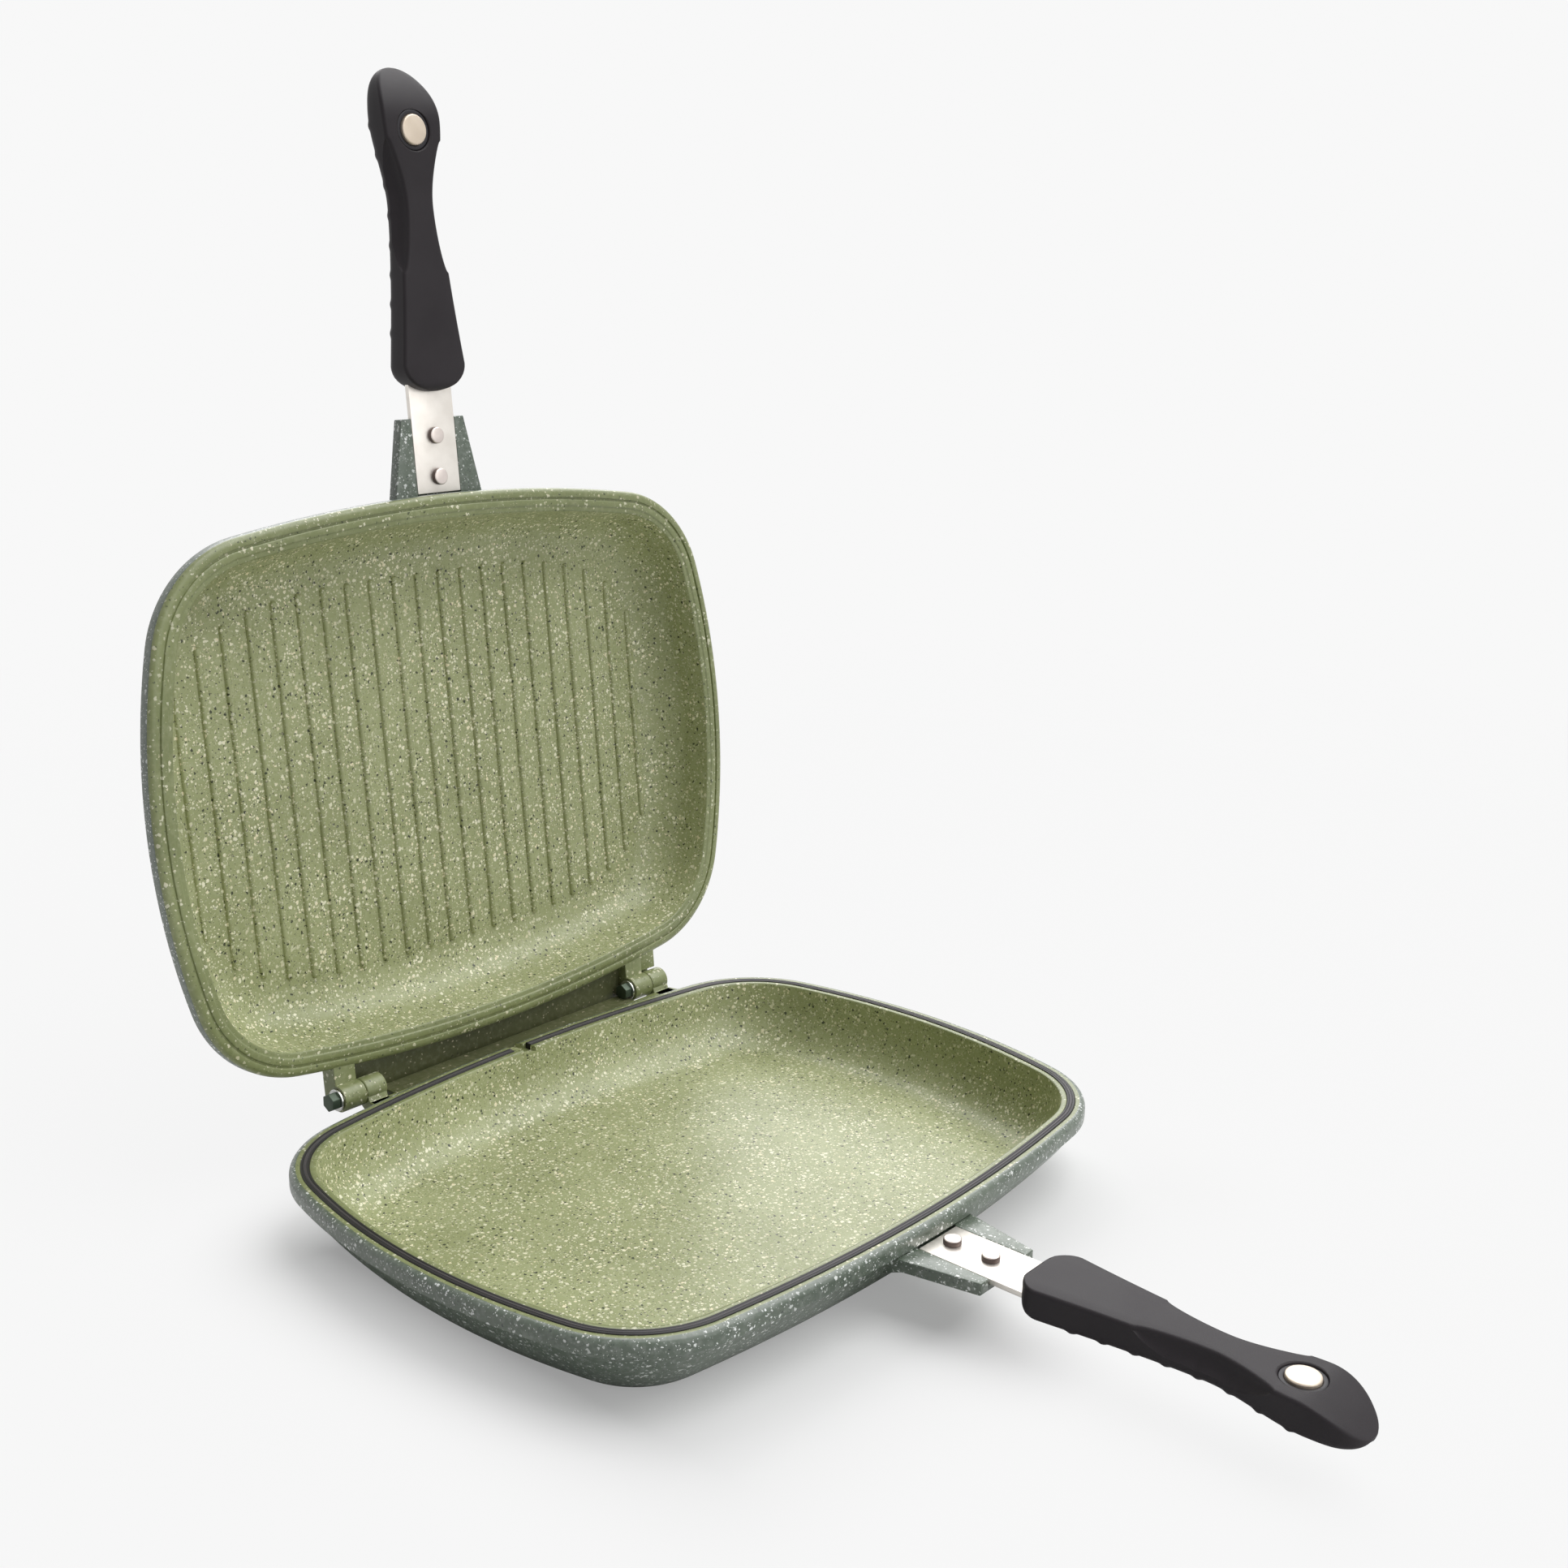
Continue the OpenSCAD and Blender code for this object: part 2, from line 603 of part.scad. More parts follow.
module stop(x) {
    near = swung([web_reach + play, knuckle_r + knuckle_gap - 0.5]);
    far = swung([web_reach + play, knuckle_r + knuckle_gap + web_t + 0.8]);
    hull() {
        across_wall(x - stop_w / 2, x + stop_w / 2, [near, far, far - [0, stop_t], near - [0, stop_t]]);
        root_block(x - stop_w / 2, x + stop_w / 2, near[1] - stop_t - 6, near[1] - 1, wall_root_y + 1);
    }
}

module upper_lug(x, extra) {
    from = x - upper_half_len;
    to = x + upper_half_len;
    outline = [[wall_root_y, web_foot_z], [hinge_y + web_reach, web_foot_z],
        [hinge_y + knuckle_r / 2, hinge_z + 0.25], [hinge_y - knuckle_r / 2, hinge_z + 0.25],
        [hinge_y - knuckle_r / 2, lug_z], [wall_root_y, lug_z]];
    difference() {
        union() {
            along_axis(from, to) circle(r = knuckle_r, $fn = knuckle_facets);
            across_wall(from, to + extra, outline);
        }
        pin_hole(pin_clear, from - 1, to + 1);
        if (extra > 0) along_axis(to, to + extra + 1)
            circle(r = knuckle_r + knuckle_gap, $fn = knuckle_facets);
    }
}

module web() {
    reach = hinge_x - upper_half_len;
    across_wall(-reach - 1, reach + 1, [[wall_root_y, web_foot_z],
        [hinge_y + web_reach, web_foot_z], [hinge_y + web_reach, web_z], [wall_root_y, web_z]]);
}

// ---- The pieces ----

module lower_pan() {
    color("#5d6a57") place_lower() {
        difference() {
            union() {
                shell(lower_rim);
                shelf();
            }
            translate([vent_x, half_w - 5, -vent_d]) rotate([0, 0, vent_slant])
                translate([-vent_w / 2, -10, 0]) cube([vent_w, 22, vent_d + 1]);
        }
        bracket();
        for (x = knuckle_spots) lower_knuckle(x);
        for (x = [-stop_x, stop_x]) stop(x);
    }
}

module ribs() {
    last = (rib_count - 1) / 2;
    for (i = [-last : last]) {
        x = i * rib_pitch;
        reach = rib_field_y * pow(1 - pow(abs(x) / rib_field_x, rib_field_bow), 1 / rib_field_bow);
        hull() for (side = [-1, 1]) translate([x, side * (reach - rib_w / 2), floor_z - 1])
            cylinder(d1 = rib_w + 0.8, d2 = rib_w, h = 1 + rib_h, $fn = 8);
    }
}

module upper_pan() {
    color("#8b9668") place_upper() {
        shell(upper_rim);
        ribs();
        bracket();
        web();
        upper_lug(-hinge_x, 0);
        upper_lug(hinge_x, lug_extra);
    }
}

module gasket() {
    color("#3a393a") place_lower() difference() {
        ring_round(gasket_section);
        translate([vent_x - vent_break / 2, half_w - 15, -groove_d - 1])
            cube([vent_break, 20, groove_d + 3]);
    }
}

module hinge_pin(x) {
    color("#4b5a4c") place_lower() translate([x, hinge_y, hinge_z]) rotate([0, 90, 0]) {
        translate([0, 0, washer_start - pin_head_len])
            cylinder(d = pin_head_w / cos(30), h = pin_head_len, $fn = 6);
        translate([0, 0, washer_start - small]) cylinder(d = pin_d, h = pin_tip - washer_start + small);
    }
}

module hinge_washer(x) {
    color("#d8d6d2") place_lower() translate([x + washer_start, hinge_y, hinge_z]) rotate([0, 90, 0])
        difference() {
            cylinder(d = washer_d, h = washer_t);
            translate([0, 0, -small])
                cylinder(r = pin_d / 2 + pin_seat_clear, h = washer_t + 2 * small);
        }
}

lower_pan();
upper_pan();
gasket();
color("#dcd9d4") place_lower() strap();  // lower_strap
color("#dcd9d4") place_upper() strap();  // upper_strap
color("#c9c4c0") place_lower() rivet(rivet_ys[0]);  // lower_front_rivet
color("#c9c4c0") place_lower() rivet(rivet_ys[1]);  // lower_rear_rivet
color("#c9c4c0") place_upper() rivet(rivet_ys[0]);  // upper_front_rivet
color("#c9c4c0") place_upper() rivet(rivet_ys[1]);  // upper_rear_rivet
color("#3b393c") place_lower() grip();  // lower_grip
color("#3b393c") place_upper() grip();  // upper_grip
color("#8f8f90") place_lower() grip_screw();  // lower_grip_screw
color("#8f8f90") place_upper() grip_screw();  // upper_grip_screw
color("#2c2a2d") place_lower() magnet_holder();  // lower_magnet_holder
color("#2c2a2d") place_upper() magnet_holder();  // upper_magnet_holder
color("#efe8da") place_lower() magnet();  // lower_magnet
color("#efe8da") place_upper() magnet();  // upper_magnet
hinge_pin(-hinge_x);  // left_hinge_pin
hinge_pin(hinge_x);  // right_hinge_pin
hinge_washer(-hinge_x);  // left_hinge_washer
hinge_washer(hinge_x);  // right_hinge_washer
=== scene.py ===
"""Looks of a hinged double sided cooking pan: cast halves, seal, straps, grips, magnets and hinges.

Sizes are in millimetres in the frame of a pan half, with the top of its rim at height 0, unless a comment
or a name says otherwise. A section is a list of inset from the pan's outline and height.
"""

from __future__ import annotations

import logging
from dataclasses import dataclass
from enum import Enum
from functools import reduce
from math import atan2, cos, pi, radians, sin, sqrt
from typing import Callable, Sequence

import bmesh
import bpy
from bpy.types import ID, Material, Mesh, NodeSocket, Object, World
from mathutils import Matrix, Vector


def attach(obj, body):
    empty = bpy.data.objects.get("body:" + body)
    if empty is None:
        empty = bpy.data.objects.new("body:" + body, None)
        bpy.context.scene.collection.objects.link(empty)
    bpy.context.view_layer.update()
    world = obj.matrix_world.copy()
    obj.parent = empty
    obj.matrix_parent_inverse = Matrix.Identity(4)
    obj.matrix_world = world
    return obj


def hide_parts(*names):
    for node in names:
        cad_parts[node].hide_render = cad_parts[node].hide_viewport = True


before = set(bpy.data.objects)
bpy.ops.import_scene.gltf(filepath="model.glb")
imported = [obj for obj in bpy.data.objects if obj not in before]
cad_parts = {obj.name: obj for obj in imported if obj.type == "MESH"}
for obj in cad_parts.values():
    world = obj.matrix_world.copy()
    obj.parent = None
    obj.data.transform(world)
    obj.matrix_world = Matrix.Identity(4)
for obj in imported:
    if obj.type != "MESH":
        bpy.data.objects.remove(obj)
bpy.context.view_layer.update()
LOG = logging.getLogger("pan")

Pair = tuple[float, float]
Point = tuple[float, float, float]
Value = "Wire | float | Point"
MM = 0.001

# Sizes that more than one sub-assembly uses
PAN_H = 33.0
RIM_GAP = 0.8
OPEN_ANGLE = 96.4
HINGE_Y = 127.0
HINGE_Z = RIM_GAP / 2
STRAP_Z = -7.2
STRAP_T = 2.2
STRAP_W = 23.4
BRACKET_T = 5.0
GROOVE_Z = -2.5

# Distance below which two points are one, in metres
SAME_POINT = 1e-7

# Sockets of Blender's Mix node when it mixes colours
MIX_SHARE, MIX_LOW, MIX_HIGH, MIX_RESULT = 0, 6, 7, 2


class Wire:
    """A node's output on its way through a shader."""

    def __init__(self, shader: Shader, socket: NodeSocket) -> None:
        """Keeps the shader that the value belongs to, and its socket."""
        self.shader = shader
        self.socket = socket

    def other(self, output: str) -> Wire:
        """Another output of the same node."""
        return Wire(self.shader, self.socket.node.outputs[output])

    def _math(self, operation: str, operand: Value) -> Wire:
        """Adds a Math node of that operation."""
        return self.shader.node("Math", (self, operand), operation=operation)

    def __add__(self, operand: Value) -> Wire:
        """Sum."""
        return self._math("ADD", operand)

    def __sub__(self, operand: Value) -> Wire:
        """Difference."""
        return self._math("SUBTRACT", operand)

    def __mul__(self, operand: Value) -> Wire:
        """Product."""
        return self._math("MULTIPLY", operand)

    def __lt__(self, operand: Value) -> Wire:
        """1 where this value is the smaller."""
        return self._math("LESS_THAN", operand)

    def highest(self, operand: Value) -> Wire:
        """The larger of two values."""
        return self._math("MAXIMUM", operand)

    def between(self, low: Value, high: Value) -> Wire:
        """Runs smoothly from 0 at low to 1 at high."""
        return self.shader.node("MapRange", {"Value": self, "From Min": low, "From Max": high}, "Result",
                                interpolation_type="SMOOTHSTEP")


class Shader:
    """The nodes of one material, or of the world, under construction."""

    def __init__(self, owner: Material | World) -> None:
        """Starts from empty nodes."""
        owner.use_nodes = True
        self.owner = owner
        self.tree = owner.node_tree
        self.tree.nodes.clear()

    def node(self, kind: str, inputs: dict[str | int, Value] | Sequence[Value] = (), output: str | int = 0,
             **settings: object) -> Wire:
        """Adds any node.

        Args:
            kind: the node's type, without the ShaderNode in front.
            inputs: values or wires, by socket name or number, or in order.
            output: the output that is wanted, by name or number.
            settings: the node's own settings, set before its sockets.
        Returns:
            That output.
        """
        made = self.tree.nodes.new(f"ShaderNode{kind}")
        for key, value in settings.items():
            setattr(made, key, value)
        pairs = inputs.items() if isinstance(inputs, dict) else enumerate(inputs)
        for key, value in pairs:
            self.feed(made.inputs[key], value)
        return Wire(self, made.outputs[output])

    def feed(self, socket: NodeSocket, value: Value) -> None:
        """Links a wire to a socket, or sets the socket's own value."""
        if isinstance(value, Wire):
            self.tree.links.new(value.socket, socket)
        elif socket.type == "RGBA":
            socket.default_value = (*value, 1.0)
        else:
            socket.default_value = value

    def end(self, result: Wire) -> Material | World:
        """Links the result to the surface, and returns what the nodes belong to."""
        kind = "World" if isinstance(self.owner, World) else "Material"
        output = self.tree.nodes.new(f"ShaderNodeOutput{kind}")
        self.feed(output.inputs["Surface"], result)
        return self.owner

    def place(self) -> Wire:
        """The surface point in metres, fixed to the piece."""
        return self.node("TexCoord", output="Object")

    def ray(self, kind: str) -> Wire:
        """1 for rays of a kind: Camera, Glossy or Transmission."""
        return self.node("LightPath", output=f"Is {kind} Ray")

    def vector(self, operation: str, *operands: Value, output: str = "Vector") -> Wire:
        """Adds a Vector Math node of that operation."""
        return self.node("VectorMath", operands, output, operation=operation)

    def noise(self, point: Wire, scale: float, detail: float = 2.0, output: str = "Fac") -> Wire:
        """Noise from 0 to 1 at a scale per metre, with finer layers: one number, or three as Color."""
        return self.node("TexNoise", {"Vector": point, "Scale": scale, "Detail": detail}, output)

    def mix(self, share: Value, low: Value, high: Value) -> Wire:
        """Mixes two colours: share says how much of the second one shows."""
        return self.node("Mix", {MIX_SHARE: share, MIX_LOW: low, MIX_HIGH: high}, MIX_RESULT,
                         data_type="RGBA")

    def bump(self, height: Wire, distance: float, strength: float) -> Wire:
        """A bump from a height of 0 to 1 that stands for a distance in metres."""
        return self.node("Bump", {"Height": height, "Distance": distance, "Strength": strength})

    def surface(self, **sockets: Value) -> Material:
        """Ends the material in a Principled shader. A _ stands for each space in a socket's name."""
        named = {name.replace("_", " "): value for name, value in sockets.items()}
        return self.end(self.node("BsdfPrincipled", named))


def srgb(*screen: float) -> Point:
    """A colour given in screen values from 0 to 255, as linear light."""
    shares = [value / 255 for value in screen]
    return tuple(v / 12.92 if v <= 0.04045 else ((v + 0.055) / 1.055) ** 2.4 for v in shares)


@dataclass(frozen=True)
class Patches:
    """Soft patches of noise.

    Their number per metre, how many finer layers they have, and the noise at which one starts and is full.
    """

    scale: float
    detail: float
    low: float
    high: float

    def mask(self, shader: Shader, point: Wire) -> Wire:
        """Where the patches are, from 0 to 1."""
        return shader.noise(point, self.scale, self.detail).between(self.low, self.high)


@dataclass(frozen=True)
class Specks:
    """One size of fleck in a coating: spacing, largest radius, share of places filled, and strength."""

    spacing: float
    radius: float
    share: float
    strength: float
    smallest: float = 0.35
    soft: float = 0.25

    def mask(self, shader: Shader, point: Wire) -> Wire:
        """Where the flecks are.

        Args:
            shader: the material under construction.
            point: the surface point, in metres.
        Returns:
            0 off a fleck, up to strength on it.
        """
        cells = shader.node("TexVoronoi", {"Vector": point, "Scale": 1 / (self.spacing * MM)}, "Distance")
        chance = shader.node("SeparateColor", [cells.other("Color")], "Red")
        reach = self.radius / self.spacing
        size = (chance.other("Green") * (1 - self.smallest) + self.smallest) * reach
        return (size - cells).between(0.0, self.soft * reach) * (chance < self.share) * self.strength


@dataclass(frozen=True)
class SpeckledCoating:
    """A stone-look coating: a base colour with pale and dark flecks under a satin gloss.

    The noise scales are per metre, and wobble and relief are in metres.
    """

    name: str
    base: Point
    shade: Point
    fleck: Point
    fleck_warm: Point
    dark: Point
    pale_specks: tuple[Specks, ...]
    dark_specks: tuple[Specks, ...]
    roughness: float
    coat: float = 0.0
    haze: float = 0.12
    wobble: float = 0.0016
    wobble_scale: float = 900.0
    clusters: Patches = Patches(38.0, 2.0, 0.32, 0.68)
    sparsest: float = 0.55
    clouds: Patches = Patches(24.0, 3.0, 0.25, 0.75)
    hazes: Patches = Patches(420.0, 4.0, 0.42, 0.8)
    soots: Patches = Patches(650.0, 4.0, 0.52, 0.8)
    warms: Patches = Patches(300.0, 1.0, 0.45, 0.75)
    grain_scale: float = 1400.0
    relief: float = 0.00012
    dark_shift: Point = (0.31, 0.17, 0.23)
    soot_shift: Point = (0.7, 0.2, 0.4)

    def material(self) -> Material:
        """Builds the coating's material."""
        s = Shader(bpy.data.materials.new(self.name))
        raw = s.place()
        drift = s.vector("SUBTRACT", s.noise(raw, self.wobble_scale, output="Color"), (0.5, 0.5, 0.5))
        drift = s.node("VectorMath", {0: drift, "Scale": self.wobble}, operation="SCALE")
        point = s.vector("ADD", raw, drift)
        cluster = self.clusters.mask(s, raw) * 0.6 + self.sparsest
        pale = reduce(Wire.highest, [specks.mask(s, point) * cluster for specks in self.pale_specks])
        shifted = s.vector("ADD", point, self.dark_shift)
        dark = reduce(Wire.highest, [specks.mask(s, shifted) for specks in self.dark_specks])
        colour = s.mix(self.clouds.mask(s, raw), self.shade, self.base)
        colour = s.mix(self.hazes.mask(s, raw) * self.haze, colour, self.fleck)
        soot = self.soots.mask(s, s.vector("ADD", raw, self.soot_shift))
        colour = s.mix(soot * self.haze, colour, self.dark)
        colour = s.mix(dark, colour, self.dark)
        colour = s.mix(pale, colour, s.mix(self.warms.mask(s, raw), self.fleck, self.fleck_warm))
        grain = s.noise(raw, self.grain_scale)
        return s.surface(Base_Color=colour, Roughness=grain * 0.12 + (self.roughness - 0.06),
                         Coat_Weight=self.coat, Coat_Roughness=0.25,
                         Normal=s.bump(grain * 0.35 + pale * 0.65, self.relief, 0.5))


@dataclass(frozen=True)
class Moulded:
    """Plain moulded plastic or rubber, with a fine grain whose depth is in metres."""

    name: str
    base: Point
    shade: Point
    roughness: float
    grain: float = 0.00003
    gloss: float = 0.3
    grain_scale: float = 2600.0
    clouds: Patches = Patches(45.0, 3.0, 0.3, 0.7)

    def material(self) -> Material:
        """Builds the plastic's material."""
        s = Shader(bpy.data.materials.new(self.name))
        raw = s.place()
        fine = s.noise(raw, self.grain_scale)
        cloud = self.clouds.mask(s, raw)
        rough = fine * 0.08 + cloud * 0.05 + (self.roughness - 0.06)
        return s.surface(Base_Color=s.mix(cloud, self.shade, self.base), Roughness=rough,
                         Normal=s.bump(fine, self.grain, 0.6), Specular_IOR_Level=self.gloss)


@dataclass(frozen=True)
class Metal:
    """Brushed or polished metal; its brush stretches the scratches along an axis."""

    name: str
    base: Point
    shade: Point
    roughness: float
    brush: Point = (1.0, 1.0, 1.0)
    metallic: float = 1.0
    scratch_scale: float = 1500.0
    scratch_depth: float = 0.00001
    clouds: Patches = Patches(120.0, 2.0, 0.3, 0.7)

    def material(self) -> Material:
        """Builds the metal's material."""
        s = Shader(bpy.data.materials.new(self.name))
        raw = s.place()
        lines = s.noise(s.vector("MULTIPLY", raw, self.brush), self.scratch_scale, 3.0)
        tone = self.clouds.mask(s, raw) * 0.6 + lines * 0.3
        return s.surface(Base_Color=s.mix(tone, self.shade, self.base), Metallic=self.metallic,
                         Roughness=lines * 0.15 + (self.roughness - 0.07),
                         Normal=s.bump(lines, self.scratch_depth, 0.3))


class Finish(Enum):
    """The finishes of this pan, by the part of it that they cover."""

    INSIDE = SpeckledCoating(
        "inside_coating", base=srgb(167, 173, 127), shade=srgb(151, 157, 111), fleck=srgb(243, 241, 216),
        fleck_warm=srgb(242, 232, 198), dark=srgb(50, 56, 30),
        pale_specks=(Specks(2.2, 1.0, 0.58, 1.0), Specks(1.5, 0.66, 0.58, 0.95), Specks(1.0, 0.42, 0.6, 0.7)),
        dark_specks=(Specks(2.2, 0.8, 0.52, 1.0), Specks(1.5, 0.5, 0.5, 0.75), Specks(0.9, 0.36, 0.5, 0.5)),
        roughness=0.42, coat=0.1)
    LIP = SpeckledCoating(
        "lip_coating", base=srgb(138, 146, 98), shade=srgb(122, 130, 84), fleck=srgb(232, 230, 204),
        fleck_warm=srgb(232, 224, 190), dark=srgb(50, 56, 30),
        pale_specks=(Specks(2.8, 1.05, 0.55, 0.95), Specks(1.9, 0.6, 0.5, 0.85), Specks(1.2, 0.36, 0.4, 0.5)),
        dark_specks=(Specks(2.8, 0.7, 0.4, 0.8), Specks(1.8, 0.42, 0.4, 0.6)), roughness=0.36, coat=0.2)
    # Painted shade: a darker copy of the coating, with fewer flecks, for the web between the hinge lugs and
    # the ledge between the hinges, which lie in shade
    RECESS_SHADE = SpeckledCoating(
        "recess_painted_shade_coating", base=srgb(90, 94, 60), shade=srgb(74, 78, 48), fleck=srgb(206, 198, 172),
        fleck_warm=srgb(200, 186, 156), dark=srgb(40, 44, 26),
        pale_specks=(Specks(3.0, 0.85, 0.35, 0.9), Specks(2.0, 0.5, 0.4, 0.7)),
        dark_specks=(Specks(3.0, 0.6, 0.35, 0.7),), roughness=0.45)
    OUTSIDE = SpeckledCoating(
        "outside_coating", base=srgb(96, 108, 93), shade=srgb(82, 95, 81), fleck=srgb(250, 252, 250),
        fleck_warm=srgb(232, 238, 230), dark=srgb(40, 50, 44),
        pale_specks=(Specks(2.3, 0.95, 0.4, 0.95), Specks(1.6, 0.6, 0.5, 0.9), Specks(1.0, 0.36, 0.5, 0.7)),
        dark_specks=(Specks(2.4, 0.7, 0.35, 0.6), Specks(1.3, 0.4, 0.4, 0.5)), roughness=0.34, coat=0.5)
    SEAL = Moulded("seal_rubber", srgb(40, 38, 39), srgb(33, 31, 32), 0.42)
    # Painted highlight: a lighter copy of the seal rubber for the gasket's crest, where light catches it
    SEAL_CREST_HIGHLIGHT = Moulded("seal_crest_painted_highlight", srgb(74, 70, 72), srgb(64, 61, 63), 0.4)
    GRIP = Moulded("grip_moulding", srgb(47, 43, 46), srgb(41, 37, 40), 0.46, grain=0.00005, gloss=0.2)
    HOLDER = Moulded("holder_moulding", srgb(44, 42, 46), srgb(36, 34, 38), 0.4)
    STRAP = Metal("strap_steel", srgb(242, 237, 230), srgb(226, 220, 212), 0.4, (1, 0.05, 1), metallic=0.8)
    RIVET_TOP = Metal("rivet_top", srgb(224, 214, 208), srgb(198, 188, 182), 0.36)
    # Painted shade: a darker copy of the rivet metal for the sides of the head, which face away from the
    # light
    RIVET_SIDE_SHADE = Metal("rivet_side_painted_shade", srgb(120, 108, 104), srgb(88, 78, 76), 0.45)
    MAGNET = Metal("magnet_plating", srgb(226, 212, 194), srgb(208, 193, 174), 0.4, metallic=0.5)
    PIN = Metal("pin_coated", srgb(84, 98, 80), srgb(62, 76, 62), 0.4, metallic=0.35)
    WASHER = Metal("washer_steel", srgb(236, 236, 232), srgb(200, 200, 196), 0.2)
    SCREW = Metal("screw_bright", srgb(170, 170, 172), srgb(130, 130, 132), 0.35)

    def get(self) -> Material:
        """The finish's material, built once."""
        return bpy.data.materials.get(self.value.name) or self.value.material()


class Half(Enum):
    """The pan's two halves."""

    LOWER = "lower_half"
    UPPER = "upper_half"

    @property
    def prefix(self) -> str:
        """How the names of this half's nodes start."""
        return self.value.split("_")[0]

    @property
    def matrix(self) -> Matrix:
        """From the half's own millimetres to the shared frame's metres."""
        scale = Matrix.Scale(MM, 4)
        if self is Half.LOWER:
            return scale @ Matrix.Translation((0, 0, PAN_H))
        return (scale @ Matrix.Translation((0, HINGE_Y, PAN_H + HINGE_Z))
                @ Matrix.Rotation(radians(-OPEN_ANGLE), 4, "X")
                @ Matrix.Translation((0, -HINGE_Y, RIM_GAP / 2)) @ Matrix.Diagonal((1, 1, -1, 1)))


def circle(radius: float, steps: int, centre: Pair = (0.0, 0.0), turn: float = 0.0) -> list[Pair]:
    """Points round a circle, counterclockwise from a turn in degrees."""
    angles = [2 * pi * i / steps + radians(turn) for i in range(steps)]
    return [(centre[0] + radius * cos(a), centre[1] + radius * sin(a)) for a in angles]


def arc(steps: int) -> list[float]:
    """Angles from 0 to a quarter turn, in radians."""
    return [pi / 2 * i / steps for i in range(steps + 1)]


class Piece:
    """A mesh that grows from simple closed forms, and is then set into a half of the pan."""

    def __init__(self, name: str) -> None:
        """Starts an empty piece of that name."""
        self.name = name
        self.points: list[Point] = []
        self.faces: list[tuple[int, ...]] = []
        self.paint: list[int] = []

    def loft(self, rings: Sequence[Sequence[Point]], paint: Callable[[int], int] = lambda band: 0,
             closed: bool = False) -> None:
        """Adds a skin through closed rings of equal length.

        Args:
            rings: the rings, in order.
            paint: the finish of the band that follows a ring.
            closed: whether the last ring joins the first; otherwise both are filled.
        """
        n, m = len(rings[0]), len(rings)
        base = len(self.points)
        self.points += [tuple(p) for ring in rings for p in ring]
        for j in range(m if closed else m - 1):
            a, b = base + j * n, base + (j + 1) % m * n
            for i in range(n):
                k = (i + 1) % n
                self.faces.append((a + i, a + k, b + k, b + i))
                self.paint.append(paint(j))
        if not closed:
            last = base + (m - 1) * n
            self.faces.append(tuple(reversed(range(base, base + n))))
            self.faces.append(tuple(range(last, last + n)))
            self.paint += [paint(0), paint(m - 2)]

    def prism(self, plan: Sequence[Pair], low: float, high: float,
              stand: Callable[[float, float, float], Point] = lambda u, v, w: (u, v, w),
              paint: int = 0) -> None:
        """Adds an outline drawn out from low to high. Its points are placed by stand."""
        self.loft([[stand(u, v, w) for u, v in plan] for w in (low, high)], paint=lambda band: paint)

    def turned(self, profile: Sequence[Pair], y: float, steps: int = 64,
               paint: Callable[[int], int] = lambda band: 0) -> None:
        """Adds a form turned about an upright line at y, from its profile's radii and heights."""
        self.loft([[(x, at, z) for x, at in circle(radius, steps, (0.0, y))] for radius, z in profile], paint)

    def rod(self, start: float, end: float, radius: float, bevel: float, sides: int = 48,
            turn: float = 0.0) -> None:
        """Adds a rod with rounded ends along the hinge line.

        Args:
            start: where it starts along the line.
            end: where it ends.
            radius: its radius to the corners.
            bevel: how much its ends are rounded.
            sides: its number of sides.
            turn: how far it is turned, in degrees.
        """
        ends = [(bevel * (1 - sin(a)), radius - bevel * (1 - cos(a))) for a in arc(5)]
        stops = [(start + inset, r) for inset, r in reversed(ends)] + [(end - inset, r) for inset, r in ends]
        self.loft([[(x, y, z) for y, z in circle(r, sides, (HINGE_Y, HINGE_Z), turn)] for x, r in stops])

    def mesh(self, half: Half) -> Mesh:
        """Turns the piece into a clean mesh.

        Args:
            half: the half that sets its frame.
        Returns:
            The mesh, in metres in the shared frame.
        """
        mesh = bpy.data.meshes.new(self.name)
        mesh.from_pydata([half.matrix @ Vector(p) for p in self.points], [], self.faces)
        mesh.polygons.foreach_set("material_index", self.paint)
        work = bmesh.new()
        work.from_mesh(mesh)
        bmesh.ops.remove_doubles(work, verts=work.verts, dist=SAME_POINT)
        bmesh.ops.recalc_face_normals(work, faces=work.faces)
        work.to_mesh(mesh)
        work.free()
        return mesh

    def make(self, half: Half, finishes: Sequence[Finish], nodes: Sequence[str] = (),
             bevel: float = 0.0, sharp: float = 40.0, cutters: Sequence[Piece] = ()) -> None:
        """Turns the piece into an object of the pan.

        Args:
            half: the half that it rides on.
            finishes: its finishes, by number.
            nodes: the solids that it stands for.
            bevel: the rounding of its sharp edges.
            sharp: the angle above which an edge stays sharp, in degrees.
            cutters: closed forms that are cut out of it before its edges are rounded.
        """
        mesh = self.mesh(half)
        for finish in finishes:
            mesh.materials.append(finish.get())
        made = link(self.name, mesh)
        for cutter in cutters:
            tool = link(cutter.name, cutter.mesh(half))
            cut = made.modifiers.new("cut", "BOOLEAN")
            cut.operation, cut.object, cut.solver = "DIFFERENCE", tool, "EXACT"
            apply_modifiers(made)
            bpy.data.objects.remove(tool)
        if bevel:
            rounding = made.modifiers.new("edges", "BEVEL")
            rounding.width, rounding.segments = bevel * MM, 3
            rounding.limit_method, rounding.angle_limit = "ANGLE", radians(35)
            rounding.harden_normals = False
            apply_modifiers(made)
        smooth(made, sharp)
        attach(made, half.value)
        if nodes:
            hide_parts(*nodes)
        LOG.info("%s: %d faces", self.name, len(made.data.polygons))


def link(name: str, data: ID) -> Object:
    """Makes an object of its data and sets it in the scene.

    Args:
        name: the object's name.
        data: its mesh, light or camera.
    Returns:
        The object.
    """
    made = bpy.data.objects.new(name, data)
    bpy.context.scene.collection.objects.link(made)
    return made


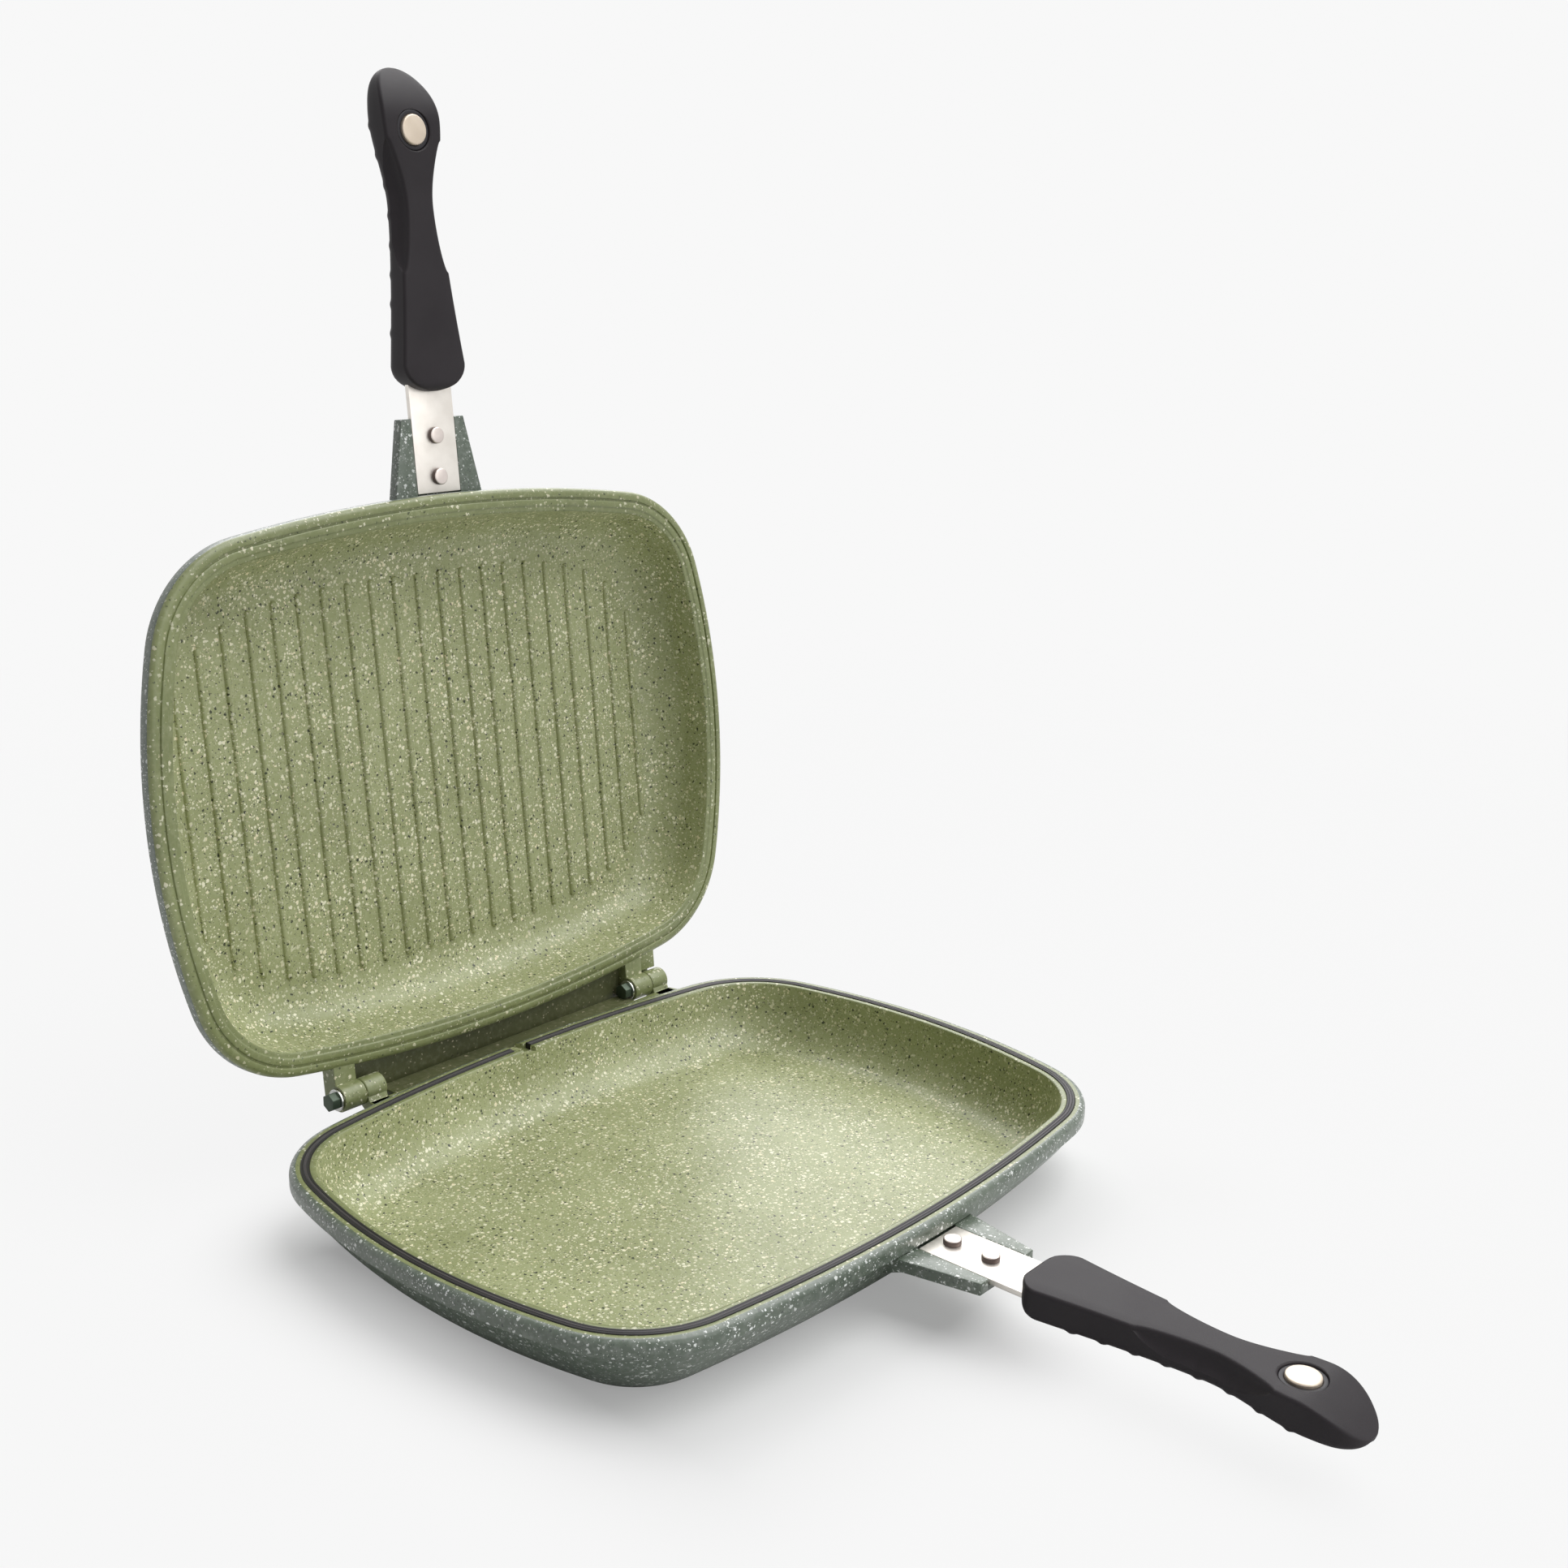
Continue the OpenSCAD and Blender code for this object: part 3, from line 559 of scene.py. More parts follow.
def apply_modifiers(made: Object) -> None:
    """Replaces an object's mesh by what its modifiers make of it.

    Args:
        made: the object.
    """
    bpy.context.view_layer.update()
    evaluated = made.evaluated_get(bpy.context.evaluated_depsgraph_get())
    mesh = bpy.data.meshes.new_from_object(evaluated)
    made.modifiers.clear()
    old = made.data
    made.data = mesh
    bpy.data.meshes.remove(old)


def smooth(made: Object, sharp: float) -> None:
    """Smooths an object's faces, apart from edges above an angle in degrees."""
    made.data.shade_smooth()
    made.data.set_sharp_from_angle(angle=radians(sharp))


def fillet(corner: Pair, before: Pair, after: Pair, radius: float, steps: int = 5) -> list[Pair]:
    """A rounded corner between two points of a section.

    Args:
        corner: the sharp corner.
        before: the point before it.
        after: the point after it.
        radius: how far from the corner the rounding starts.
        steps: its number of parts.
    Returns:
        Points from the side of before to the side of after.
    """
    c, a, b = Vector(corner), Vector(before), Vector(after)
    p, q = c + (a - c).normalized() * radius, c + (b - c).normalized() * radius
    shares = [i / steps for i in range(steps + 1)]
    return [tuple((1 - t) ** 2 * p + 2 * t * (1 - t) * c + t * t * q) for t in shares]


def bowed(start: Pair, end: Pair, bow: float, steps: int) -> list[Pair]:
    """A bulging wall of a section.

    Args:
        start: its first point, at the rim's side.
        end: its last point, at the floor's side.
        bow: how much it bulges; 1 is straight.
        steps: its number of parts.
    Returns:
        Its points.
    """
    points = []
    for i in range(steps + 1):
        across = 1 - (1 - i / steps) ** 2
        down = (1 - (1 - across) ** bow) ** (1 / bow)
        points.append((start[0] + (end[0] - start[0]) * across, start[1] + (end[1] - start[1]) * down))
    return points


@dataclass
class Outline:
    """The plan of both halves: long and short curves joined by round corners."""

    length: float = 320.0
    width: float = 240.0
    long_r: float = 720.0
    short_r: float = 294.0
    corner_r: float = 52.0
    steps: tuple[int, int, int] = (12, 22, 14)

    def __post_init__(self) -> None:
        """Works out where the three arcs of a quarter meet."""
        self.long_c = Vector((0, self.width / 2 - self.long_r))
        self.short_c = Vector((self.length / 2 - self.short_r, 0))
        to_long, to_short = self.long_r - self.corner_r, self.short_r - self.corner_r
        gap = (self.short_c - self.long_c).length
        along = (to_long ** 2 - to_short ** 2 + gap ** 2) / (2 * gap)
        across = sqrt(to_long ** 2 - along ** 2)
        line = (self.short_c - self.long_c) / gap
        self.corner_c = self.long_c + line * along + Vector((line.y, -line.x)) * across
        to = self.corner_c - self.long_c
        self.turn_long = atan2(to.y, to.x)
        to = self.corner_c - self.short_c
        self.turn_short = atan2(to.y, to.x)

    def quarter(self, inset: float) -> list[Pair]:
        """The points of one quarter, from the +X end to just before the +Y side's middle.

        Args:
            inset: how far inside the outline they are.
        Returns:
            The points.
        """
        points = []
        for centre, radius, start, end, steps in (
                (self.short_c, self.short_r, 0.0, self.turn_short, self.steps[0]),
                (self.corner_c, self.corner_r, self.turn_short, self.turn_long, self.steps[1]),
                (self.long_c, self.long_r, self.turn_long, pi / 2, self.steps[2])):
            r = radius - inset
            turns = [start + (end - start) * i / steps for i in range(steps)]
            points += [(centre.x + r * cos(a), centre.y + r * sin(a)) for a in turns]
        return points

    def ring(self, inset: float, height: float) -> list[Point]:
        """The whole outline.

        Args:
            inset: how far inside the outline it is.
            height: its height.
        Returns:
            Its points, counterclockwise from the +X end.
        """
        right = self.quarter(inset)
        back = right + [(0, self.width / 2 - inset)] + [(-x, y) for x, y in reversed(right)]
        return [(x, y, height) for x, y in back + [(x, -y) for x, y in reversed(back[1:-1])]]


OUTLINE = Outline()


@dataclass
class CastHalf:
    """One cast half: its shell, handle bracket and grill ribs, coated inside and out."""

    half: Half
    lip_h: float = 7.0
    cove_in: float = 3.2
    cove_h: float = 1.3
    base_in: float = 25.0
    wall_bow: float = 1.25
    rim_w: float = 10.6
    floor_in: float = 34.0
    floor_z: float = -29.0
    bowl_bow: float = 2.2
    # Round the rim's outer edge, and how many of its last points lie on top of the rim
    edge: tuple[Pair, ...] = ((0.0, -4.5), (0.0, -2.7), (0.12, -2.0), (0.4, -1.3), (0.85, -0.7), (1.5, -0.25),
                              (2.3, -0.04), (2.6, 0.0), (3.2, 0.0))
    on_top: int = 2
    groove_out: float = 4.4
    groove_in: float = 8.0
    groove_round: float = 0.25
    bead: float = 5.2
    # Insets from the bead's outer side, and heights: the small groove before the bead, and the bead
    bead_groove: tuple[Pair, ...] = ((-1.25, 0.0), (-1.05, -0.1), (-0.95, -0.35), (-0.9, -0.75),
                                     (-0.1, -0.75))
    bead_top: tuple[Pair, ...] = ((0.0, -0.3), (0.15, -0.1), (0.5, 0.0), (2.5, 0.0), (2.85, -0.12),
                                  (3.05, -0.4), (3.5, -0.5))
    vent_at: Pair = (-1.35, 115.0)
    vent_w: float = 6.5
    vent_len: float = 24.0
    vent_d: float = 2.2
    vent_slant: float = 20.0
    reach: float = 32.5
    root_x: float = 23.7
    end_x: float = 17.0
    gusset_d: float = 4.5
    gusset_x: float = 22.7
    buried: float = 9.0
    strap_clear: float = 0.15
    rib_count: int = 21
    rib_pitch: float = 12.7
    # Half the length of the ribs' field, and half the length of its middle rib
    rib_field: Pair = (133.5, 85.2)
    rib_field_bow: float = 3.7
    rib_r: float = 1.75
    rib_h: float = 1.6
    rib_sunk: float = 0.6

    @property
    def slot(self) -> str:
        """The name of this half's coating: its prefix followed by _coating."""
        return f"{self.half.prefix}_coating"

    def outside(self) -> list[Pair]:
        """The section from the base's edge up to the rim."""
        top = -self.lip_h - self.cove_h
        wall = bowed((self.cove_in, top), (self.base_in, -PAN_H), self.wall_bow, steps=18)[::-1]
        base = fillet(wall[0], (wall[0][0] + 3, -PAN_H), wall[2], radius=0.6, steps=3)
        cove = fillet((self.cove_in, top), wall[-2], (0.9, -self.lip_h - 0.15), radius=0.9)
        lip = fillet((0.0, -self.lip_h), (1.6, -self.lip_h - 0.3), (0.0, -3.0), radius=0.9)
        return base + wall[1:-1] + cove + lip + list(self.edge[:-self.on_top])

    def groove_edge(self, at: float, side: int) -> list[Pair]:
        """The rounded top edge of the seal groove at an inset, on its outer (-1) or inner (1) side."""
        r = self.groove_round
        return [(at + side * r, 0.0), (at + side * 0.28 * r, -0.28 * r), (at, -r)]

    def rim(self) -> list[Pair]:
        """The section across the top of the rim: a seal groove, or a small groove and a bead."""
        start, w = list(self.edge[-self.on_top:]), self.rim_w
        if self.half is Half.LOWER:
            out, inner = self.groove_out, self.groove_in
            groove = self.groove_edge(out, -1) + [(out, GROOVE_Z), (inner, GROOVE_Z)]
            groove += reversed(self.groove_edge(inner, 1))
            return start + groove + [(w - 0.9, 0.0), (w - 0.35, -0.18), (w - 0.1, -0.5)]
        bead = [(self.bead + inset, z) for inset, z in self.bead_groove + self.bead_top]
        return start + bead + [(w - 0.8, -0.5), (w - 0.3, -0.65), (w - 0.05, -0.9)]

    def inside(self) -> list[Pair]:
        """The section from the rim down to the cooking floor."""
        wall = bowed((self.rim_w, -1.0), (self.floor_in, self.floor_z), self.bowl_bow, steps=30)
        return wall + [(self.floor_in + 2.5, self.floor_z)]

    def vent(self) -> Piece:
        """The slanting steam vent that is cut out of the lower rim."""
        w, reach = self.vent_w / 2, self.vent_len / 2
        turn, middle = Matrix.Rotation(radians(self.vent_slant), 2), Vector(self.vent_at)
        box = [(-w, -reach), (w, -reach), (w, reach), (-w, reach)]
        piece = Piece("vent")
        piece.prism([middle + turn @ Vector(corner) for corner in box], -self.vent_d, 3)
        return piece

    def shell(self) -> None:
        """Builds the shell: dark outside, light inside, and a coat of its own over the rim."""
        outer, rim, lower = self.outside(), self.rim(), self.half is Half.LOWER
        # The rim's coat reaches further down the upper half's edge
        lip_from = len(outer) - (1 if lower else 6)
        lip_to = len(outer) + len(rim) - 1
        piece = Piece(f"{self.half.prefix}_shell")
        piece.loft([OUTLINE.ring(inset, z) for inset, z in outer + rim + self.inside()],
                   lambda band: 1 if band <= lip_from else 2 if band < lip_to else 0)
        piece.make(self.half, (Finish.INSIDE, Finish.OUTSIDE, Finish.LIP),
                   (f"{self.half.prefix}_pan",), sharp=50, cutters=[self.vent()] if lower else [])

    def bracket(self) -> None:
        """Builds the cast bracket that carries the strap, with its two ears and its gusset."""
        piece = Piece(f"{self.half.prefix}_bracket")
        front = -OUTLINE.width / 2
        root, end, foot = front + self.buried, front - self.reach, STRAP_Z - BRACKET_T
        inner = STRAP_W / 2 + self.strap_clear
        for side in (-1, 1):
            ear = [(inner, root), (inner, end), (self.end_x, end), (self.root_x, front + 0.5),
                   (self.root_x, root)]
            piece.prism([(side * x, y) for x, y in ear[::side]], foot, STRAP_Z)
        wide = inner + 0.5
        piece.prism([(-wide, root), (-wide, end), (wide, end), (wide, root)], foot, STRAP_Z - STRAP_T - 0.1)
        gusset = [(front - 2, foot + 0.8), (front - 2, foot), (root, foot - self.gusset_d),
                  (root, foot + 0.8)]
        piece.prism(gusset, -self.gusset_x, self.gusset_x, stand=lambda u, v, w: (w, u, v))
        piece.make(self.half, (Finish.OUTSIDE,), bevel=0.55)

    def ribs(self) -> None:
        """Builds the grill ribs: low rounded bars with round ends, in a field with round corners."""
        piece = Piece("grill_ribs")
        side, bow = self.rib_count // 2, self.rib_field_bow
        for x0 in [self.rib_pitch * k for k in range(-side, side + 1)]:
            reach = self.rib_field[1] * (1 - (abs(x0) / self.rib_field[0]) ** bow) ** (1 / bow)
            tip = [(self.rib_r * (1 - cos(a)) - reach, max(sin(a), 0.03)) for a in arc(7)]
            stations = tip + [(y, 1.0) for y in range(6 - int(reach), int(reach) - 5, 20)]
            stations += [(-y, share) for y, share in reversed(tip)]
            rings = []
            for y, share in stations:
                w, h, foot = self.rib_r * share, self.rib_h * share, self.floor_z - self.rib_sunk
                turns = [-1 + i / 5 for i in range(11)]
                ring = [(x0 + t * w, y, self.floor_z + h * sqrt(1 - t * t)) for t in turns]
                rings.append(ring + [(x0 + w, y, foot), (x0 - w, y, foot)])
            piece.loft(rings)
        piece.make(self.half, (Finish.INSIDE,), sharp=60)

    def build(self) -> None:
        """Builds all of the half's castings."""
        self.shell()
        self.bracket()
        if self.half is Half.UPPER:
            self.ribs()


@dataclass
class Seal:
    """The rubber gasket in the lower rim, with its gap at the steam vent.

    The profile runs from either side of the gasket to its middle, and its last two points are the crest,
    whose bands get a lighter rubber as a painted highlight.
    """

    outer: float = 4.45
    inner: float = 7.95
    profile: tuple[Pair, ...] = ((0.0, GROOVE_Z), (0.0, 0.0), (0.08, 0.2), (0.3, 0.33), (0.6, 0.36),
                                 (0.9, 0.3), (1.15, 0.16), (1.35, 0.3), (1.6, 0.43))
    gap: Pair = (-6.3, 3.6)

    def build(self) -> None:
        """Builds the gasket."""
        section = [(self.outer + inset, z) for inset, z in self.profile]
        section += [(self.inner - inset, z) for inset, z in reversed(self.profile)]
        middle = len(self.profile) - 1
        piece = Piece("rim_gasket")
        # The bands round the crest get the lighter rubber, a painted highlight
        piece.loft([OUTLINE.ring(inset, z) for inset, z in section],
                   lambda band: int(middle - 1 <= band <= middle + 2), closed=True)
        (left, right), (near, far) = self.gap, (100.0, 130.0)
        cutter = Piece("gasket_gap")
        cutter.prism([(left, near), (right, near), (right, far), (left, far)], -4, 3)
        piece.make(Half.LOWER, (Finish.SEAL, Finish.SEAL_CREST_HIGHLIGHT), ("gasket",), sharp=50,
                   cutters=[cutter])


def share_of(value: float, low: float, high: float) -> float:
    """Runs evenly from 0 at low to 1 at high."""
    return min(max((value - low) / (high - low), 0.0), 1.0)


def ease(value: float, low: float, high: float) -> float:
    """Runs smoothly from 0 at low to 1 at high."""
    u = share_of(value, low, high)
    return u * u * (3 - 2 * u)


def sagitta(share: float) -> float:
    """How far a quarter circle of radius 1 has dropped at a share of its radius."""
    return 1 - sqrt(max(0.0, 1 - share * share))


@dataclass
class Handle:
    """A grip with its strap, rivets, screw, magnet and magnet holder.

    The starts of grip and strap and the rivets are places along Y. Other places are distances from the
    grip's front, or from its tip where the name ends in _in.
    """

    half: Half
    start: float = -163.5
    length: float = 133.0
    front_w: float = 33.0
    widest: float = 11.0
    waist_w: float = 21.2
    waist_in: float = 56.0
    tail_w: float = 30.0
    tail_in: float = 22.0
    top: float = -1.4
    front_t: float = 13.3
    waist_t: float = 12.2
    tail_t: float = 14.2
    tip_t: float = 3.0
    bend_in: float = 23.0
    # Lengths and depths of the rounded ends: the flat face's front, and the foot's front and tail
    nose: Pair = (3.0, 2.6)
    nose_foot: Pair = (7.0, 6.0)
    tail_foot: Pair = (10.0, 3.0)
    thickest_in: float = 8.0
    scoop_d: float = 3.4
    scoop_h: float = 9.0
    scoop_from: float = 49.0
    scoop_in: float = 30.0
    ridge_h: float = 0.75
    ridge_half_w: float = 2.6
    ridge_first: float = 25.0
    ridge_pitch: float = 12.0
    ridge_count: int = 8
    edge_r: float = 1.5
    foot_r: float = 5.0
    magnet_in: float = 26.1
    magnet_r: float = 6.25
    magnet_t: float = 4.0
    magnet_z: float = -0.7
    magnet_round: float = 0.75
    holder_r: float = 8.3
    holder_z: float = -2.0
    holder_foot: float = -5.9
    holder_floor: float = 1.2
    screw_at: float = 31.0
    # Its radius, and the height where it ends
    screw_hole: Pair = (3.9, -11.0)
    rivets: Pair = (-127.3, -144.9)
    strap_start: float = -120.4
    tang_w: float = 14.0
    tang_len: float = 74.0
    tang_shoulder: float = 6.0

    @property
    def magnet_y(self) -> float:
        """Where the magnet's centre is."""
        return self.start - self.length + self.magnet_in

    def half_width(self, s: float) -> float:
        """Half the grip's width.

        Args:
            s: the distance from its front.
        Returns:
            The half width.
        """
        waist, tail = self.length - self.waist_in, self.length - self.tail_in
        if s < self.widest:
            return self.front_w / 2 * (1 - sagitta(1 - s / self.widest))
        if s < waist:
            left = 1 - share_of(s, self.widest, waist)
            return self.waist_w / 2 + (self.front_w - self.waist_w) / 2 * left ** 1.5
        if s < tail:
            return self.waist_w / 2 + (self.tail_w - self.waist_w) / 2 * ease(s, waist, tail)
        return self.tail_w / 2 * (1 - share_of(s, tail, self.length) ** 2.2) ** (1 / 2.2)

    def scoop(self, s: float) -> float:
        """How much of the finger scoop there is, from 0 to 1."""
        u = share_of(s, self.scoop_from, self.length - self.scoop_in)
        return sqrt(max(0.0, sin(pi * u)))

    def top_z(self, s: float) -> float:
        """Height of the grip's flat face, which rolls over at the front and bends down at the tip.

        Args:
            s: the distance from its front.
        Returns:
            The height.
        """
        length, depth = self.nose
        front = depth * (1 - share_of(s, 0, length)) ** 2
        u = share_of(s, self.length - self.bend_in, self.length)
        return self.top - front - (self.tail_t - self.tip_t) * u * u

    def foot_z(self, s: float) -> float:
        """Height of the grip's ridged outer face.

        Args:
            s: the distance from its front.
        Returns:
            The height.
        """
        waist = self.length - self.waist_in
        thick = self.front_t + (self.waist_t - self.front_t) * ease(s, self.widest, waist)
        thick += (self.tail_t - self.waist_t) * ease(s, waist, self.length - self.thickest_in)
        front = self.nose_foot[1] * sagitta(1 - share_of(s, 0, self.nose_foot[0]))
        tail = self.tail_foot[1] * sagitta(share_of(s, self.length - self.tail_foot[0], self.length))
        away = min(abs(s - self.ridge_first - self.ridge_pitch * k) for k in range(self.ridge_count))
        ridge = self.ridge_h * cos(pi / 2 * min(away / self.ridge_half_w, 1.0)) ** 2
        return self.top - thick + front + tail - ridge

    def ring(self, s: float) -> list[Point]:
        """One cross-section of the grip.

        Args:
            s: the distance from its front.
        Returns:
            Its points, round the grip.
        """
        w, top = max(self.half_width(s), 0.9), self.top_z(s)
        foot = min(self.foot_z(s), top - 0.8)
        deep = top - foot
        edge, round_r = min(self.edge_r, w / 3, deep / 5), min(self.foot_r, w / 2.2, deep / 2.6)
        inner = w - self.scoop_d * self.scoop(s)
        low = min(max(edge + 0.4, self.scoop_h * self.scoop(s)), deep - round_r - 0.2)
        scoop_z = min(top - edge - 0.2, top - low)
        side: list[Pair] = [(inner * 0.55, top + 0.02), (inner - edge, top)]
        side += [(inner - edge + edge * sin(a), top - edge + edge * cos(a)) for a in arc(4)[1:]]
        for t in [i / 6 for i in range(1, 7)]:
            side.append((inner + (w - inner) * t ** 2.1, top - edge + (scoop_z - top + edge) * t))
        side.append((w, (scoop_z + foot + round_r) / 2))
        side += [(w - round_r * (1 - cos(a)), foot + round_r * (1 - sin(a))) for a in arc(5)]
        side.append((w * 0.35, foot - 0.25))
        return [(x, self.start - s, z) for x, z in side + [(-x, z) for x, z in reversed(side)]]

    def stations(self) -> list[float]:
        """Where the grip's cross-sections are: closer together towards both ends."""
        gap, body_from, body_in, bend_to = 0.8, 12.0, 26.0, self.length - 6
        nose = [0.02, 0.15, 0.4, 0.8, 1.3, 2, 2.8, 3.8, 5, 6.5, 8, 9.5, 11]
        body = [body_from + gap * i for i in range(int((self.length - body_in) / gap))]
        bend = [body[-1] + (bend_to - body[-1]) * i / 10 for i in range(1, 11)]
        return nose + body + bend + [self.length - d for d in (5, 4, 3.1, 2.3, 1.6, 1.0, 0.55, 0.25, 0.07)]

    def grip(self) -> None:
        """Builds the moulded grip, with the seats of its magnet holder and its screw."""
        piece = Piece(f"{self.half.prefix}_grip_body")
        piece.loft([self.ring(s) for s in self.stations()])
        seat = Piece("holder_seat")
        seat.turned([(8.35, -6.4), (8.35, -2.5), (8.4, -1.9), (8.75, -1.5), (9.1, -1.42), (9.3, 4.0)],
                    self.magnet_y)
        hole = Piece("screw_hole")
        radius, end = self.screw_hole
        hole.turned([(radius, -30), (radius, end)], self.start - self.screw_at)
        piece.make(self.half, (Finish.GRIP,), (f"{self.half.prefix}_grip",), sharp=42,
                   cutters=[seat, hole])

    def strap(self) -> None:
        """Builds the flat steel strap with its softened edges."""
        w, tang, start, tip = STRAP_W / 2, self.tang_w / 2, self.strap_start, self.start - self.tang_len
        end = self.start - self.tang_shoulder
        side = [(w, start), (w, end), (tang, end - 4), (tang, tip)]
        piece = Piece(f"{self.half.prefix}_strap_plate")
        piece.prism([(-x, y) for x, y in side] + side[::-1], STRAP_Z - STRAP_T, STRAP_Z)
        piece.make(self.half, (Finish.STRAP,), (f"{self.half.prefix}_strap",), bevel=0.28)

    def rivet(self, y: float, node: str) -> None:
        """Builds one rivet: a low dome on the strap and a closed tail under the bracket, with painted shade
        on the head's sides.

        Args:
            y: its place along the strap.
            node: the solid that it stands for.
        """
        top, foot = STRAP_Z, STRAP_Z - BRACKET_T
        tail = [(0.02, -1.6), (2.6, -1.6), (3.2, -1.3), (3.6, -0.6), (3.7, 0), (2.5, 0)]
        head = [(2.5, 0), (3.35, 0), (3.52, 0.25), (3.56, 0.9), (3.53, 1.8)]
        turns = [radians(a) for a in (15, 35, 55, 75, 90)]
        dome = [(2.86 + 0.67 * cos(a), 1.9 + 0.6 * sin(a)) for a in turns]
        dome += [(2.4, 2.58), (1.4, 2.66), (0.02, 2.7)]
        profile = [(r, foot + z) for r, z in tail] + [(r, top + z) for r, z in head + dome]
        # The head's sides get the darker rivet metal, a painted shade
        sides = range(len(tail) + 1, len(tail) + len(head))
        piece = Piece(f"{node}_dome")
        piece.turned(profile, y, 56, lambda band: int(band in sides))
        piece.make(self.half, (Finish.RIVET_TOP, Finish.RIVET_SIDE_SHADE), (node,), sharp=60)

    def magnet(self) -> None:
        """Builds the magnet and the holder round it."""
        face, r, soft = self.magnet_z, self.magnet_r, self.magnet_round
        edge = [(r - soft + soft * cos(a), face - soft + soft * sin(a)) for a in arc(6)]
        disc = Piece(f"{self.half.prefix}_magnet_disc")
        disc.turned([(0.02, face - self.magnet_t), (r, face - self.magnet_t), *edge, (2.5, face + 0.03),
                     (0.02, face + 0.04)], self.magnet_y)
        disc.make(self.half, (Finish.MAGNET,), (f"{self.half.prefix}_magnet",), sharp=60)
        foot, wall, out, bore = self.holder_foot, self.holder_z, self.holder_r, r + 0.05
        floor = foot + self.holder_floor
        ring = Piece(f"{self.half.prefix}_holder_ring")
        ring.turned([(0.02, foot), (out, foot), (out, wall - 0.4), (out - 0.15, wall - 0.1),
                     (out - 0.5, wall), (bore + 0.5, wall), (bore + 0.15, wall - 0.1), (bore, wall - 0.4),
                     (bore, floor), (0.02, floor)], self.magnet_y)
        ring.make(self.half, (Finish.HOLDER,), (f"{self.half.prefix}_magnet_holder",),
                  sharp=50)

    def build(self) -> None:
        """Builds the whole handle."""
        self.grip()
        self.strap()
        for y, place in zip(self.rivets, ("front", "rear")):
            self.rivet(y, f"{self.half.prefix}_{place}_rivet")
        self.magnet()
        dress_node(f"{self.half.prefix}_grip_screw", Finish.SCREW)


def dress_node(name: str, finish: Finish) -> None:
    """Gives a carried-over solid its finish, with smooth round faces.

    Args:
        name: the solid's node.
        finish: its finish.
    """
    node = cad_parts[name]
    node.data.materials.clear()
    node.data.materials.append(finish.get())
    smooth(node, sharp=35)
    LOG.info("%s: dressed", name)


